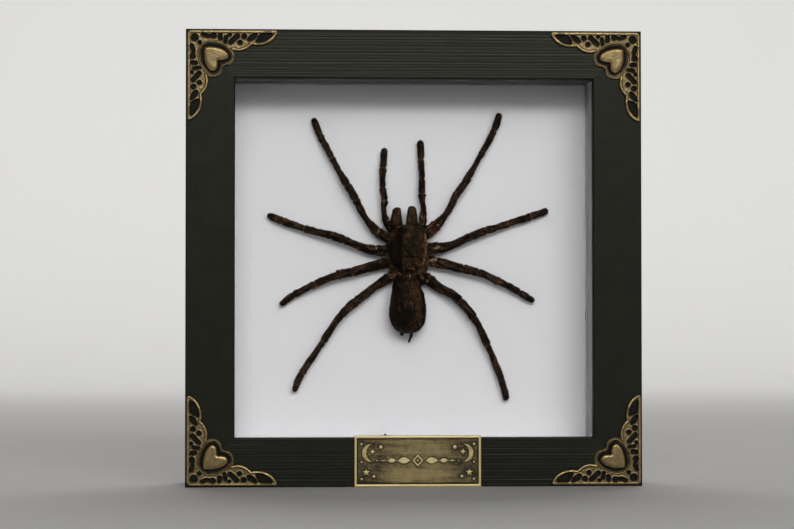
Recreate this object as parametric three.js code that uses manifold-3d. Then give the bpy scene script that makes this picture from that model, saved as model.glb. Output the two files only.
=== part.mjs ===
// A framed tarantula: a square black frame with a deep white box behind its glass, brass corners,
// a brass nameplate, and a dried spider spread on the board at the back of the box.
// Millimetres, +Z up, the front of the frame faces -Y, and the origin is under the middle.
import * as THREE from "three";
import { mergeVertices } from "three/addons/utils/BufferGeometryUtils.js";
import Module from "manifold-3d";

// Driving dimensions. A depth is counted back from the front face of the rails.
const frame = { side: 204, depth: 36, face: 21.5, lip: 5, rabbet: 5.5, ease: 0.7, mitreGap: 0.15 };
const gap = 0.3; // between pieces that meet
const glassPane = { depth: frame.lip + gap, thick: 2 };
const liner = { depth: glassPane.depth + glassPane.thick + gap, reach: 20.1, setBack: 0.5 };
const mountBoard = { depth: liner.depth + liner.reach + gap, thick: 3 };
const backing = { depth: mountBoard.depth + mountBoard.thick + gap, thick: 2.5 };
const tab = { width: 9, length: 17, sunk: 3, thick: 0.5, fromCorner: 58, clearance: 0.2 };
const ornament = { arm: 40, inset: 0.8, plate: 1.1, heart: 2.4, corner: 1.8, tip: 0.9, seat: 0.1 };
const nameplate = { x: 1.3, bottom: 0.05, width: 56.6, height: 22.8, field: 0.9, proud: 1.5, border: 1.3 };
const figureAt = {
  moonOut: 21.4, moonUp: 15.2, moon: 4.2, starOut: 22.8, starUp: 6.2, star: 1.9, proud: 1.3,
};
const hanger = { width: 46, height: 8, thick: 1, teeth: 15, toothDeep: 1.4, nailAt: 18.5, below: 5 };
const nail = { head: 2.1, dome: 0.7, shank: 0.6, length: 8 };

const proudFront = ornament.seat + ornament.heart;
const proudBack = ornament.seat + hanger.thick + nail.dome;
const frontY = (proudFront - frame.depth - proudBack) / 2;
const opening = frame.side - 2 * frame.face;
const rabbetSide = opening + 2 * (frame.rabbet - gap);
const railFaceMiddle = (frame.face - frame.rabbet) / 2;

// The spider. Each path runs from the body outwards as [x, z, rise], where rise is the height of the
// centre line above the board, and girth gives the radius at equal steps along it, ends rounded off.
const boardY = frontY + mountBoard.depth;
const legGirth = {
  first: [2.2, 2.4, 2.4, 1.8, 1.45, 1.65, 1.8, 1.8, 1.65, 1.4, 1.4, 1.42, 1.6, 1.5, 1.6, 1.5],
  second: [2.2, 2.4, 2.4, 2.1, 1.9, 1.8, 1.85, 1.9, 1.75, 1.5, 1.6, 1.58, 1.7, 1.65, 1.65, 1.5],
  firstRight: [2.7, 2.95, 2.6, 1.8, 1.45, 1.65, 1.8, 1.8, 1.65, 1.4, 1.4, 1.42, 1.6, 1.5, 1.6, 1.5],
  secondRight: [2.5, 2.75, 2.6, 2.2, 1.9, 1.8, 1.85, 1.9, 1.75, 1.5, 1.6, 1.58, 1.7, 1.65, 1.65, 1.5],
  fourthRight: [2.7, 2.95, 2.5, 2.1, 2.1, 2, 2, 1.75, 1.6, 1.75, 1.45, 1.4, 1.7, 1.6, 1.55, 1.4],
  third: [2.2, 2.4, 2.5, 2.4, 2.2, 2.15, 2, 1.95, 1.8, 1.7, 1.7, 1.5, 1.65, 1.5, 1.55, 1.4],
  fourth: [2.2, 2.3, 2.2, 1.85, 2, 2, 2, 1.75, 1.6, 1.75, 1.45, 1.4, 1.7, 1.6, 1.55, 1.4],
};
const palpGirth = [1.7, 1.8, 1.8, 1.75, 1.3, 1.25, 1.55, 1.5, 1.45, 1.35, 1.4, 1.55, 1.4, 1.6, 1.6, 1.5];
const specimen = {
  cephalothorax: {
    path: [[-2, 96, 6.2], [-1.9, 102, 6.6], [-1.7, 110, 6.8], [-1.5, 117.7, 6.6]],
    girth: [3.4, 6.1, 7.6, 8.2, 8.3, 8.2, 7.7, 6.7, 5], flat: 0.5, sides: 16, steps: 13, blunt: 3,
  },
  abdomen: {
    path: [[-1.9, 95.4, 6.4], [-2, 91, 6.8], [-2.05, 80, 7.2], [-1.85, 73, 7], [-1.8, 68.2, 6.6]],
    girth: [1.9, 5.8, 7, 7.4, 7.9, 8.3, 8.5, 8.1, 6.6, 3.6], flat: 0.72, sides: 14, steps: 13, blunt: 3,
  },
  chelicera_left: {
    path: [[-6, 113.5, 4.6], [-6.85, 119.4, 6.3], [-6.65, 125.6, 5.4]],
    girth: [3, 3.15, 2.85, 2.4, 1.85], flat: 0.9, sides: 10, steps: 8, blunt: 2,
  },
  chelicera_right: {
    path: [[0.2, 113.5, 4.6], [-0.2, 119.4, 6.3], [-0.1, 126.2, 5.4]],
    girth: [3, 3.15, 2.85, 2.4, 1.85], flat: 0.9, sides: 10, steps: 8, blunt: 2,
  },
  pedipalp_left: {
    path: [[-6.9, 112.5, 3.3], [-10.2, 116.9, 3.4], [-12.2, 120.4, 3.5], [-12.7, 124.5, 3.7],
      [-12.5, 128.3, 3.7], [-13.3, 136.5, 3.4], [-12.9, 144.7, 2.5], [-12.3, 152.9, 2.1]],
    girth: palpGirth,
  },
  pedipalp_right: {
    path: [[3.2, 112.5, 3.3], [4.9, 118.3, 3.4], [5.4, 124.5, 3.6], [4.7, 131, 3.7], [4.7, 139, 3.4],
      [4.4, 148, 2.5], [4, 156.5, 2.1]],
    girth: palpGirth,
  },
  leg_1_left: {
    path: [[-6.9, 109.6, 3.1], [-15.8, 114.7, 3.7], [-20.8, 120.3, 4.1], [-24.3, 126.8, 4.2],
      [-27.8, 133.3, 4.2], [-31.8, 139.8, 4], [-35.3, 146.3, 3.4], [-42.1, 159.2, 2.5], [-44.8, 166.5, 2]],
    girth: legGirth.first,
  },
  leg_1_right: {
    path: [[3.1, 111.5, 3.1], [8.5, 115.3, 3.4], [12.9, 119.2, 3.7], [17.2, 124.7, 4.1], [20.2, 131, 4.2],
      [24.4, 137.1, 4.2], [31.4, 149, 3.4], [38.3, 161.9, 2.5], [40.5, 169.1, 2]],
    girth: legGirth.firstRight,
  },
  leg_2_left: {
    path: [[-6.9, 106, 3.1], [-17.4, 106.2, 3.7], [-23.8, 107.9, 4.1], [-29.5, 110.3, 4.2],
      [-35.5, 112.5, 4.2], [-41.6, 114, 3.9], [-47.9, 115.7, 3.4], [-59.9, 119.8, 2.5], [-65.8, 122.2, 2]],
    girth: legGirth.second,
  },
  leg_2_right: {
    path: [[3.1, 107.3, 3.1], [13.1, 107.2, 3.7], [19.1, 108.8, 4.1], [25.2, 111.6, 4.2], [31.2, 114.1, 4.2],
      [43.6, 118.1, 3.4], [56, 122.2, 2.5], [62.7, 124.4, 2]],
    girth: legGirth.secondRight,
  },
  leg_3_left: {
    path: [[-6.4, 101.5, 3.1], [-14.3, 99.7, 3.5], [-24.8, 96.9, 4.1], [-35.6, 94.1, 4.2], [-40.9, 92.1, 4],
      [-50.9, 87.2, 3], [-55.5, 84.6, 2.5], [-59.9, 81.2, 2]],
    girth: legGirth.third,
  },
  leg_3_right: {
    path: [[2.6, 102, 3.1], [9.6, 101, 3.5], [20.1, 98.5, 4.1], [31.2, 95.8, 4.2], [36.2, 93.7, 4],
      [46.4, 88.7, 3], [51.3, 85.8, 2.5], [56.2, 82.8, 2]],
    girth: legGirth.third,
  },
  leg_4_left: {
    path: [[-4.7, 96.8, 2.5], [-9.4, 94.2, 3], [-16.2, 89.8, 3.7], [-22.3, 85.1, 4.1], [-28.4, 80.3, 4.2],
      [-33.6, 74.7, 4.2], [-42.1, 61.9, 3.4], [-50.6, 48.9, 2.5], [-53.7, 41.7, 2]],
    girth: legGirth.fourth,
  },
  leg_4_right: {
    path: [[1.5, 96.6, 2.5], [6.6, 93.1, 2.9], [11.6, 89.7, 3.5], [18.3, 85.9, 4.1], [24.2, 80.7, 4.2],
      [28.9, 74.4, 4.2], [35.9, 60.2, 3.4], [41.6, 45.5, 2.5], [43.5, 37.6, 2]],
    girth: legGirth.fourthRight,
  },
  spinneret_left: {
    path: [[-4.2, 69.5, 5.6], [-4.7, 67.2, 5.2]],
    girth: [0.9, 0.9, 0.7], sides: 7, steps: 5,
  },
  spinneret_right: {
    path: [[-0.4, 70, 5.8], [-0.3, 67.6, 5.4], [-1.5, 63.9, 4.6]],
    girth: [1, 0.9, 0.7, 0.5, 0.35], sides: 7, steps: 7,
  },
};

const looks = {
  frame_black: { color: 0x23241f, roughness: 0.5, metalness: 0 },
  pane_glass: { color: 0xf4f8f6, roughness: 0.05, metalness: 0, transparent: true, opacity: 0.2 },
  liner_white: { color: 0xd8d8d6, roughness: 0.8, metalness: 0 },
  board_white: { color: 0xdedee0, roughness: 0.85, metalness: 0 },
  backing_brown: { color: 0x7d5f40, roughness: 0.8, metalness: 0 },
  antique_brass: { color: 0xa08a50, roughness: 0.38, metalness: 1 },
  zinc_steel: { color: 0xa9abad, roughness: 0.35, metalness: 1 },
  cuticle_brown: { color: 0x2e2016, roughness: 0.6, metalness: 0 },
  abdomen_brown: { color: 0x2a1a13, roughness: 0.7, metalness: 0 },
};

const wasm = await Module();
wasm.setup();

// A closed three.js geometry as a solid that can be cut and joined, and back.
function solidOf(geometry) {
  const bare = geometry.clone();
  bare.deleteAttribute("normal");
  bare.deleteAttribute("uv");
  const merged = mergeVertices(bare, 1e-4);
  return new wasm.Manifold(
    new wasm.Mesh({
      numProp: 3,
      vertProperties: new Float32Array(merged.attributes.position.array),
      triVerts: new Uint32Array(merged.index.array),
    }),
  );
}

function geometryOf(solid) {
  const mesh = solid.getMesh();
  const geometry = new THREE.BufferGeometry();
  geometry.setAttribute("position", new THREE.BufferAttribute(mesh.vertProperties, mesh.numProp));
  geometry.setIndex(new THREE.BufferAttribute(mesh.triVerts, 1));
  geometry.computeVertexNormals();
  return geometry;
}

function named(name, look, geometry) {
  const mesh = new THREE.Mesh(geometry, new THREE.MeshStandardMaterial(looks[look]));
  mesh.name = name;
  return mesh;
}

function block(width, depth, height, x, y, z) {
  return new THREE.BoxGeometry(width, depth, height).translate(x, y, z);
}

// A flat outline in the plane of the frame, its first coordinate along X and its second up, thickened
// towards the front from its back plane at y.
function relief(shape, thick, y, bevel = 0) {
  const edge = { bevelThickness: bevel, bevelSize: bevel, bevelOffset: -bevel, bevelSegments: 1 };
  return new THREE.ExtrudeGeometry(shape, {
    depth: thick - 2 * bevel, curveSegments: 3, bevelEnabled: bevel > 0, ...edge,
  })
    .rotateX(Math.PI / 2)
    .translate(0, y - bevel, 0);
}

// Four copies of a bottom piece, each turned a quarter about the middle of the frame.
function fourSides(names, look, geometry) {
  const middle = new THREE.Group();
  middle.position.z = frame.side / 2;
  names.forEach((name, quarter) => {
    const turn = new THREE.Group();
    turn.rotation.y = (quarter * Math.PI) / 2;
    const mesh = named(name, look, geometry[quarter] ?? geometry);
    mesh.position.z = -frame.side / 2;
    turn.add(mesh);
    middle.add(turn);
  });
  return middle;
}

// The rail's section: x is the distance in from the outer side, y the depth. Its ends are mitred by
// drawing each point in by its own distance from the outer side.
function railGeometry() {
  const { side, depth, face, lip, rabbet, ease, mitreGap } = frame;
  const section = new THREE.Shape();
  section.moveTo(0, ease);
  section.lineTo(ease, 0);
  section.lineTo(face - ease, 0);
  section.lineTo(face, ease);
  section.lineTo(face, lip);
  section.lineTo(face - rabbet, lip);
  section.lineTo(face - rabbet, depth);
  section.lineTo(0, depth);
  section.closePath();
  const rail = new THREE.ExtrudeGeometry(section, { depth: 1, bevelEnabled: false });
  const at = rail.attributes.position;
  for (let i = 0; i < at.count; i++) {
    const inward = at.getX(i);
    const halfLength = side / 2 - inward - mitreGap;
    at.setXYZ(i, at.getZ(i) > 0.5 ? -halfLength : halfLength, frontY + at.getY(i), inward);
  }
  return rail;
}

const tabPlaces = [-1, 1].map((way) => way * (frame.side / 2 - tab.fromCorner));
const tabY = frontY + backing.depth + backing.thick + gap + tab.thick / 2;

// The slots in a rail's rabbet wall that the two flexible tabs are pressed into.
function slottedRail() {
  const { width, sunk, thick, clearance } = tab;
  const wall = frame.face - frame.rabbet;
  let rail = solidOf(railGeometry());
  for (const x of tabPlaces) {
    const slot = block(
      width + 2 * clearance, thick + 2 * clearance, sunk + clearance + 1,
      x, tabY, wall + 1 - (sunk + clearance + 1) / 2,
    );
    rail = rail.subtract(solidOf(slot));
  }
  return rail;
}

function nailHoles() {
  const { shank, length } = nail;
  return [-1, 1].map((way) =>
    new THREE.CylinderGeometry(shank + gap, shank + gap, 2 * (length + gap), 12).translate(
      way * hanger.nailAt, frontY + frame.depth, railFaceMiddle,
    ),
  );
}

function rails() {
  const plain = slottedRail();
  const drilled = nailHoles().reduce((rail, hole) => rail.subtract(solidOf(hole)), plain);
  const pieces = [plain, plain, drilled, plain].map(geometryOf);
  return fourSides(["rail_bottom", "rail_left", "rail_top", "rail_right"], "frame_black", pieces);
}

// Sheets that stand one behind another in the rabbet.
function sheets() {
  const sheet = (name, look, { depth, thick }) =>
    named(name, look, block(
      rabbetSide, thick, rabbetSide, 0, frontY + depth + thick / 2, frame.side / 2,
    ));
  return [
    sheet("glass", "pane_glass", glassPane),
    sheet("mount_board", "board_white", mountBoard),
    sheet("backing_panel", "backing_brown", backing),
  ];
}

// White strips on edge around the box, from the glass back to the board.
function liners() {
  const inner = opening / 2 + liner.setBack;
  const thick = rabbetSide / 2 - inner;
  const off = inner + thick / 2;
  const y = frontY + liner.depth + liner.reach / 2;
  const middle = frame.side / 2;
  const upright = 2 * inner - 2 * gap;
  return [
    named("liner_bottom", "liner_white", block(rabbetSide, liner.reach, thick, 0, y, middle - off)),
    named("liner_top", "liner_white", block(rabbetSide, liner.reach, thick, 0, y, middle + off)),
    named("liner_left", "liner_white", block(thick, liner.reach, upright, -off, y, middle)),
    named("liner_right", "liner_white", block(thick, liner.reach, upright, off, y, middle)),
  ];
}

// A pointed steel tab, lying on the backing with its blunt end in the rail's slot.
function tabShape() {
  const { width, length, sunk } = tab;
  const root = frame.face - frame.rabbet - sunk;
  const shape = new THREE.Shape();
  shape.moveTo(-width / 2, root);
  shape.lineTo(width / 2, root);
  shape.lineTo(width / 2, root + length * 0.45);
  shape.quadraticCurveTo(width / 2, root + length * 0.8, 0, root + length);
  shape.quadraticCurveTo(-width / 2, root + length * 0.8, -width / 2, root + length * 0.45);
  shape.closePath();
  return shape;
}

function tabs() {
  const geometry = relief(tabShape(), tab.thick, tabY + tab.thick / 2);
  return ["a", "b"].map((letter, i) => {
    const names = ["bottom", "left", "top", "right"].map((side) => `flex_tab_${side}_${letter}`);
    return fourSides(names, "zinc_steel", geometry.clone().translate(tabPlaces[i], 0, 0));
  });
}

const outlineOf = (pairs) => pairs.map(([x, z]) => new THREE.Vector2(x, z));
const mirrored = (point) => new THREE.Vector2(point.y, point.x);

// A point given by its distance along the corner's diagonal and its distance to the side of it.
function onDiagonal([along, aside]) {
  return new THREE.Vector2((along + aside) / Math.SQRT2, (along - aside) / Math.SQRT2);
}

// The heart, its tip towards the corner: a smooth line through these points and their mirror images.
function heartOutline() {
  const half = [[10.4, 0], [12, 2], [15, 4.2], [18.4, 5.4], [20.8, 4.9], [21.3, 3], [20.2, 1]];
  const side = new THREE.SplineCurve(half.map(onDiagonal)).getPoints(9);
  const notch = onDiagonal([19.4, 0]);
  return [...side, notch, ...side.slice(1).reverse().map(mirrored)];
}

// The plate's edge on one side of the diagonal: rounded corner, straight arm, rounded tip, two
// scallops and the lobe around the heart.
function plateOutline() {
  const { arm, corner, tip } = ornament;
  const half = new THREE.Path();
  half.absarc(corner, corner, corner, 1.25 * Math.PI, 1.5 * Math.PI, false);
  half.lineTo(arm - tip, 0);
  half.absarc(arm - tip, tip, tip, -0.5 * Math.PI, 0.15 * Math.PI, false);
  half.bezierCurveTo(38.2, 5.2, 33.5, 7.6, 28.6, 6.3);
  half.bezierCurveTo(26.6, 8.6, 23.3, 10, 20.2, 8.8);
  half.bezierCurveTo(21.8, 12, 20, 15.8, 16.9, 15.4);
  half.lineTo(16.1, 16.1);
  const points = half.getPoints(3);
  return [...points, ...points.slice(1, -1).reverse().map(mirrored)];
}

function oval(x, z, halfLong, halfWide, tilt, count = 8) {
  return Array.from({ length: count }, (_, i) => {
    const turn = (i * 2 * Math.PI) / count;
    const point = new THREE.Vector2(halfLong * Math.cos(turn), halfWide * Math.sin(turn));
    return point.rotateAround(new THREE.Vector2(), tilt).add(new THREE.Vector2(x, z));
  });
}

// The pierced slots along one arm, which the other arm repeats in mirror image.
function armSlots() {
  return [
    oval(8.6, 2.1, 1.9, 0.8, 0.35),
    oval(11.6, 2.2, 1.1, 0.85, 0, 6),
    oval(14.6, 2.9, 1.4, 0.75, 1.4),
    oval(16.9, 3.9, 1.6, 0.7, 1.7),
    oval(18.7, 1.9, 0.7, 0.5, 0, 5),
    oval(20.7, 3.7, 2.4, 0.9, -0.75),
    oval(25.1, 2.7, 0.95, 0.95, 0, 6),
    oval(23.3, 5.4, 0.8, 0.8, 0, 6),
    oval(28.9, 3, 1.9, 0.95, -0.4, 7),
    outlineOf([[30.9, 5.1], [32.3, 1.8], [37.5, 1.7], [36.4, 3.5], [33.5, 5.3]]),
  ];
}

// One stamped corner: the pierced plate with the raised heart on it, built for the lower left.
function cornerGeometry() {
  const { plate, heart, seat } = ornament;
  const shape = new THREE.Shape(plateOutline());
  const slots = armSlots();
  const pierced = [oval(3.2, 3.2, 1.5, 1.5, 0), ...slots, ...slots.map((slot) => slot.map(mirrored))];
  shape.holes = pierced.map((points) => new THREE.Path(points));
  const back = frontY - seat;
  const flat = solidOf(relief(shape, plate, back));
  const raised = solidOf(relief(new THREE.Shape(heartOutline()), heart, back, 0.7));
  const start = ornament.inset - frame.side / 2;
  return geometryOf(flat.add(raised)).translate(start, 0, ornament.inset);
}

function corners() {
  const names = ["bottom_left", "top_left", "top_right", "bottom_right"].map((at) => `corner_${at}`);
  return fourSides(names, "antique_brass", cornerGeometry());
}

function rectangle(left, bottom, width, height) {
  const right = left + width;
  const top = bottom + height;
  return outlineOf([[left, bottom], [right, bottom], [right, top], [left, top]]);
}

// A crescent: an outer arc and a shallower one back between the same two horns.
function crescent(x, z, radius, way) {
  const arc = (centre, r, from, to, count) =>
    Array.from({ length: count }, (_, i) => {
      const turn = from + ((to - from) * i) / (count - 1);
      return new THREE.Vector2(x + way * (centre + r * Math.cos(turn)), z + r * Math.sin(turn));
    });
  const hornAt = 0.36 * Math.PI;
  const innerCentre = radius * 0.62;
  const outer = arc(0, radius, hornAt, 2 * Math.PI - hornAt, 13);
  const hornAlong = radius * Math.cos(hornAt) - innerCentre;
  const hornUp = radius * Math.sin(hornAt);
  const start = Math.atan2(-hornUp, hornAlong) + 2 * Math.PI;
  const inner = arc(innerCentre, Math.hypot(hornAlong, hornUp), start, 2 * Math.PI - start, 11);
  return [...outer, ...inner.slice(1, -1)];
}

function star(x, z, radius) {
  return Array.from({ length: 10 }, (_, i) => {
    const r = i % 2 ? radius * 0.42 : radius;
    const turn = Math.PI / 2 + (i * Math.PI) / 5;
    return new THREE.Vector2(x + r * Math.cos(turn), z + r * Math.sin(turn));
  });
}

// The nameplate: a field inside a raised border, with a moon and a star at each end.
function nameplateGeometry() {
  const { x, bottom, width, height, field, proud, border } = nameplate;
  const back = frontY - ornament.seat;
  const outline = rectangle(x - width / 2, bottom, width, height);
  const rim = new THREE.Shape(outline);
  rim.holes = [new THREE.Path(
    rectangle(x - width / 2 + border, bottom + border, width - 2 * border, height - 2 * border),
  )];
  let plate = solidOf(relief(new THREE.Shape(outline), field, back)).add(solidOf(relief(rim, proud, back)));
  for (const way of [-1, 1]) {
    const figures = [
      crescent(x + way * figureAt.moonOut, bottom + figureAt.moonUp, figureAt.moon, -way),
      star(x + way * figureAt.starOut, bottom + figureAt.starUp, figureAt.star),
    ];
    for (const points of figures)
      plate = plate.add(solidOf(relief(new THREE.Shape(points), figureAt.proud, back)));
  }
  return geometryOf(plate);
}

// The sawtooth hanger on the back of the top rail.
function hangerGeometry() {
  const { width, height, teeth, toothDeep, thick, nailAt, below } = hanger;
  const top = frame.side - below;
  const bottom = top - height;
  const shape = new THREE.Shape();
  shape.moveTo(-width / 2, top);
  shape.lineTo(-width / 2, bottom + toothDeep);
  const toothed = width * 0.62;
  for (let i = 0; i <= teeth; i++) {
    const x = -toothed / 2 + (toothed * i) / teeth;
    shape.lineTo(x, bottom + toothDeep);
    if (i < teeth) shape.lineTo(x + toothed / teeth / 2, bottom);
  }
  shape.lineTo(width / 2, bottom + toothDeep);
  shape.lineTo(width / 2, top);
  shape.closePath();
  const holeRadius = nail.shank + gap;
  shape.holes = [-1, 1].map(
    (way) => new THREE.Path(oval(way * nailAt, frame.side - railFaceMiddle, holeRadius, holeRadius, 0)),
  );
  return relief(shape, thick, frontY + frame.depth + ornament.seat + thick);
}

// A round-headed nail through the hanger, its shank in the rail.
function hangerNails() {
  const { head, dome, shank, length } = nail;
  const seat = ornament.seat + hanger.thick + 0.05;
  const rise = dome - 0.05;
  const profile = [[0, -length], [shank, -length + 1.5], [shank, seat], [head, seat]];
  for (let i = 1; i <= 3; i++) {
    const turn = (i * Math.PI) / 6;
    profile.push([head * Math.cos(turn), seat + rise * Math.sin(turn)]);
  }
  profile.at(-1)[0] = 0;
  const points = profile.map(([r, y]) => new THREE.Vector2(r, y));
  return [["hanger_nail_left", -1], ["hanger_nail_right", 1]].map(([name, way]) => {
    const mesh = named(name, "zinc_steel", new THREE.LatheGeometry(points, 12));
    mesh.position.set(way * hanger.nailAt, frontY + frame.depth, frame.side - railFaceMiddle);
    return mesh;
  });
}

function sampled(list, share) {
  const at = share * (list.length - 1);
  const low = Math.min(Math.floor(at), list.length - 2);
  return THREE.MathUtils.lerp(list[low], list[low + 1], at - low);
}

// A limb or a body part: a lathe turned along a unit axis, each ring then carried to its place on the
// path and pressed towards the board by `flat`. `blunt` makes the rounding of the ends shorter.
function limbGeometry({ path, girth, flat = 0.92, sides = 7, steps = 19, blunt = 1 }, grow = 0) {
  const curve = new THREE.CatmullRomCurve3(
    path.map(([x, z, rise]) => new THREE.Vector3(x, boardY - rise, z)), false, "centripetal",
  );
  const length = curve.getLength();
  const crowding = blunt > 1 ? 0.8 : 0.5; // how far the rings are drawn towards the two ends
  const ring = (i) => (1 - Math.cos((Math.PI * i) / steps)) / 2;
  const share = (i) => THREE.MathUtils.lerp(i / steps, ring(i), crowding);
  const profile = [new THREE.Vector2(0, 0)];
  for (let i = 1; i < steps; i++) {
    const along = share(i);
    const radius = sampled(girth, along);
    const fromEnd = Math.min(along, 1 - along) * length * blunt;
    const rounding = Math.sqrt(Math.max(0, 1 - Math.max(0, 1 - fromEnd / radius) ** 2));
    profile.push(new THREE.Vector2(radius * rounding + grow, along));
  }
  profile.push(new THREE.Vector2(0, 1));
  const limb = new THREE.LatheGeometry(profile, sides);
  const at = limb.attributes.position;
  const out = new THREE.Vector3(0, -1, 0);
  for (let i = 0; i < at.count; i++) {
    const along = THREE.MathUtils.clamp(at.getY(i), 0, 1);
    const tangent = curve.getTangentAt(along);
    const across = new THREE.Vector3().crossVectors(out, tangent).normalize();
    const up = new THREE.Vector3().crossVectors(across, tangent);
    const spot = curve.getPointAt(along);
    const overrun = along === 0 ? -grow : along === 1 ? grow : 0;
    spot.addScaledVector(tangent, overrun);
    spot.addScaledVector(across, at.getX(i)).addScaledVector(up, at.getZ(i) * flat);
    at.setXYZ(i, spot.x, spot.y, spot.z);
  }
  return limb;
}

// Each piece of the spider is cut back a little wherever it meets one that is already in place.
function spider() {
  const placed = [];
  return Object.entries(specimen).map(([name, build]) => {
    const clear = placed.reduce((piece, other) => piece.subtract(other), solidOf(limbGeometry(build)));
    placed.push(solidOf(limbGeometry(build, gap)));
    const look = /abdomen|spinneret/.test(name) ? "abdomen_brown" : "cuticle_brown";
    const largest = clear.decompose().sort((a, b) => b.volume() - a.volume())[0];
    return named(name, look, geometryOf(largest));
  });
}

const framedTarantula = new THREE.Group();
framedTarantula.add(
  rails(),
  ...sheets(),
  ...liners(),
  ...tabs(),
  corners(),
  named("nameplate", "antique_brass", nameplateGeometry()),
  named("hanger", "zinc_steel", hangerGeometry()),
  ...hangerNails(),
  ...spider(),
);

export default framedTarantula;
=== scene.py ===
import math

import bpy
import bmesh
import numpy as np
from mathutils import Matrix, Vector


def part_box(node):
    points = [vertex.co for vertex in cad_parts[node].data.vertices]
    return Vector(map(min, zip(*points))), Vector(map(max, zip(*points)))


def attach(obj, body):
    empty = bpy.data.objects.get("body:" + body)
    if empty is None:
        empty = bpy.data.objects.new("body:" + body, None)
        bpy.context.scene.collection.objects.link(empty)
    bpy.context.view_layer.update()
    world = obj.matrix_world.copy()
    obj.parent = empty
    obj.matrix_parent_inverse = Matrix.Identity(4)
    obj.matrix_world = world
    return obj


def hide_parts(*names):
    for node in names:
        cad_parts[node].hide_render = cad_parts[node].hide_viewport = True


# A framed tarantula: combed black rails, brass corners and nameplate, glass, a white box, and the spider.
# Every length here is in millimetres and becomes metres when a mesh is filled.
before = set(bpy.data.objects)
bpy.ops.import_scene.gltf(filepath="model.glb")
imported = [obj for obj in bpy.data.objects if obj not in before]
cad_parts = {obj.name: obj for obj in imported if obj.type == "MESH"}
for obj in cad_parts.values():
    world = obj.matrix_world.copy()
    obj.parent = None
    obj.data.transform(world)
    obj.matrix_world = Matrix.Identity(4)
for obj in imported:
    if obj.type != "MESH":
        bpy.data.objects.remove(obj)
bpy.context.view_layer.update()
mm = 0.001

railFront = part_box("rail_bottom")[0].y / mm      # the front face of the rails
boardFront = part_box("mount_board")[0].y / mm     # the face that the spider lies on
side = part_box("rail_top")[1].z / mm              # outer side of the square frame
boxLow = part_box("liner_bottom")[1].z / mm        # the white box, inside its liners
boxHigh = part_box("liner_top")[0].z / mm


# numbers on whole arrays

def ease(low, high, value):
    # 0 below low, 1 above high, 3t^2 - 2t^3 between
    t = np.clip((value - low) / (high - low), 0, 1)
    return t * t * (3 - 2 * t)


def hump(distance, width):
    # 1 at no distance, falling as exp(-(distance / width)^2)
    return np.exp(-(distance / width) ** 2)


def bead(distance, width):
    # the round top of a half circle of this half width, 0 outside it
    return np.sqrt(np.clip(1 - (distance / width) ** 2, 0, 1))


def cornerNumber(x, y, z, seed):
    # a fixed number from -1 to 1 for each whole-number corner, by mixing its bits
    n = (x * 374761393 + y * 668265263 + z * 1442695041 + seed * 1274126177) & 0xFFFFFFFF
    n = ((n ^ (n >> 13)) * 1274126177) & 0xFFFFFFFF
    return (n ^ (n >> 16)) / 2147483647.5 - 1


def lumps(points, size, seed=0):
    # slope noise: each corner of a lattice of this size has a random direction, whose dot product with the
    # way from the corner is eased between the corners
    at = np.asarray(points, float) / size
    cell = np.floor(at).astype(np.int64)
    part = at - cell
    t = part ** 3 * (part * (part * 6 - 15) + 10)
    total = 0
    for corner in range(8):
        step = [(corner >> k) & 1 for k in range(3)]
        share = 1
        slope = 0
        for k in range(3):
            share = share * (t[..., k] if step[k] else 1 - t[..., k])
        for k in range(3):
            slope = slope + (part[..., k] - step[k]) * cornerNumber(
                *(cell[..., j] + step[j] for j in range(3)), 3 * seed + k)
        total = total + share * slope
    return np.clip(total * 1.9, -1, 1)


def curveThrough(points, count, closed=False):
    # a centripetal Catmull-Rom curve through the points, sampled at even steps of its length
    p = np.array(points, float)
    p = np.vstack([p[-1:], p, p[:2]]) if closed else np.vstack([2 * p[0] - p[1], p, 2 * p[-1] - p[-2]])
    pieces = []
    for a, b, c, d in zip(p, p[1:], p[2:], p[3:]):
        knots = np.cumsum([0] + [max(np.linalg.norm(k) ** 0.5, 1e-4) for k in (b - a, c - b, d - c)])
        t = np.linspace(knots[1], knots[2], 24, endpoint=False)[:, None]
        mix = lambda u, v, i, j: ((knots[j] - t) * u + (t - knots[i]) * v) / (knots[j] - knots[i])
        ab, bc, cd = mix(a, b, 0, 1), mix(b, c, 1, 2), mix(c, d, 2, 3)
        pieces.append(mix(mix(ab, bc, 0, 2), mix(bc, cd, 1, 3), 1, 2))
    fine = np.vstack(pieces + [p[-2][None]])
    run = np.concatenate([[0], np.cumsum(np.linalg.norm(np.diff(fine, axis=0), axis=1))])
    even = np.linspace(0, run[-1], count)
    return np.stack([np.interp(even, run, fine[:, k]) for k in range(fine.shape[1])], 1), run[-1]


def capsule(at, start, end, radius):
    # signed distance to a round-ended bar, negative inside
    start, way = np.array(start, float), np.array(end, float) - np.array(start, float)
    share = np.clip(((at - start) @ way) / max(way @ way, 1e-9), 0, 1)
    return np.linalg.norm(at - start - share[:, None] * way, axis=1) - radius


def polygon(at, outline):
    # signed distance to a closed outline: the nearest stretch of it, negative where a ray crosses it oddly
    a = np.array(outline, float)
    b = np.roll(a, -1, axis=0)
    way = b - a
    found = []
    for part in np.array_split(at, max(1, len(at) // 4000)):
        away = part[:, None] - a
        share = np.clip((away * way).sum(2) / (way ** 2).sum(1), 0, 1)
        nearest = np.linalg.norm(away - share[..., None] * way, axis=2).min(1)
        spans = (a[:, 1] > part[:, 1:]) != (b[:, 1] > part[:, 1:])
        rise = np.where(np.abs(way[:, 1]) < 1e-12, 1e-12, way[:, 1])
        crossing = spans & (part[:, :1] < a[:, 0] + (part[:, 1:] - a[:, 1]) * way[:, 0] / rise)
        found.append(np.where(crossing.sum(1) % 2 == 1, -nearest, nearest))
    return np.concatenate(found)


# meshes

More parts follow.
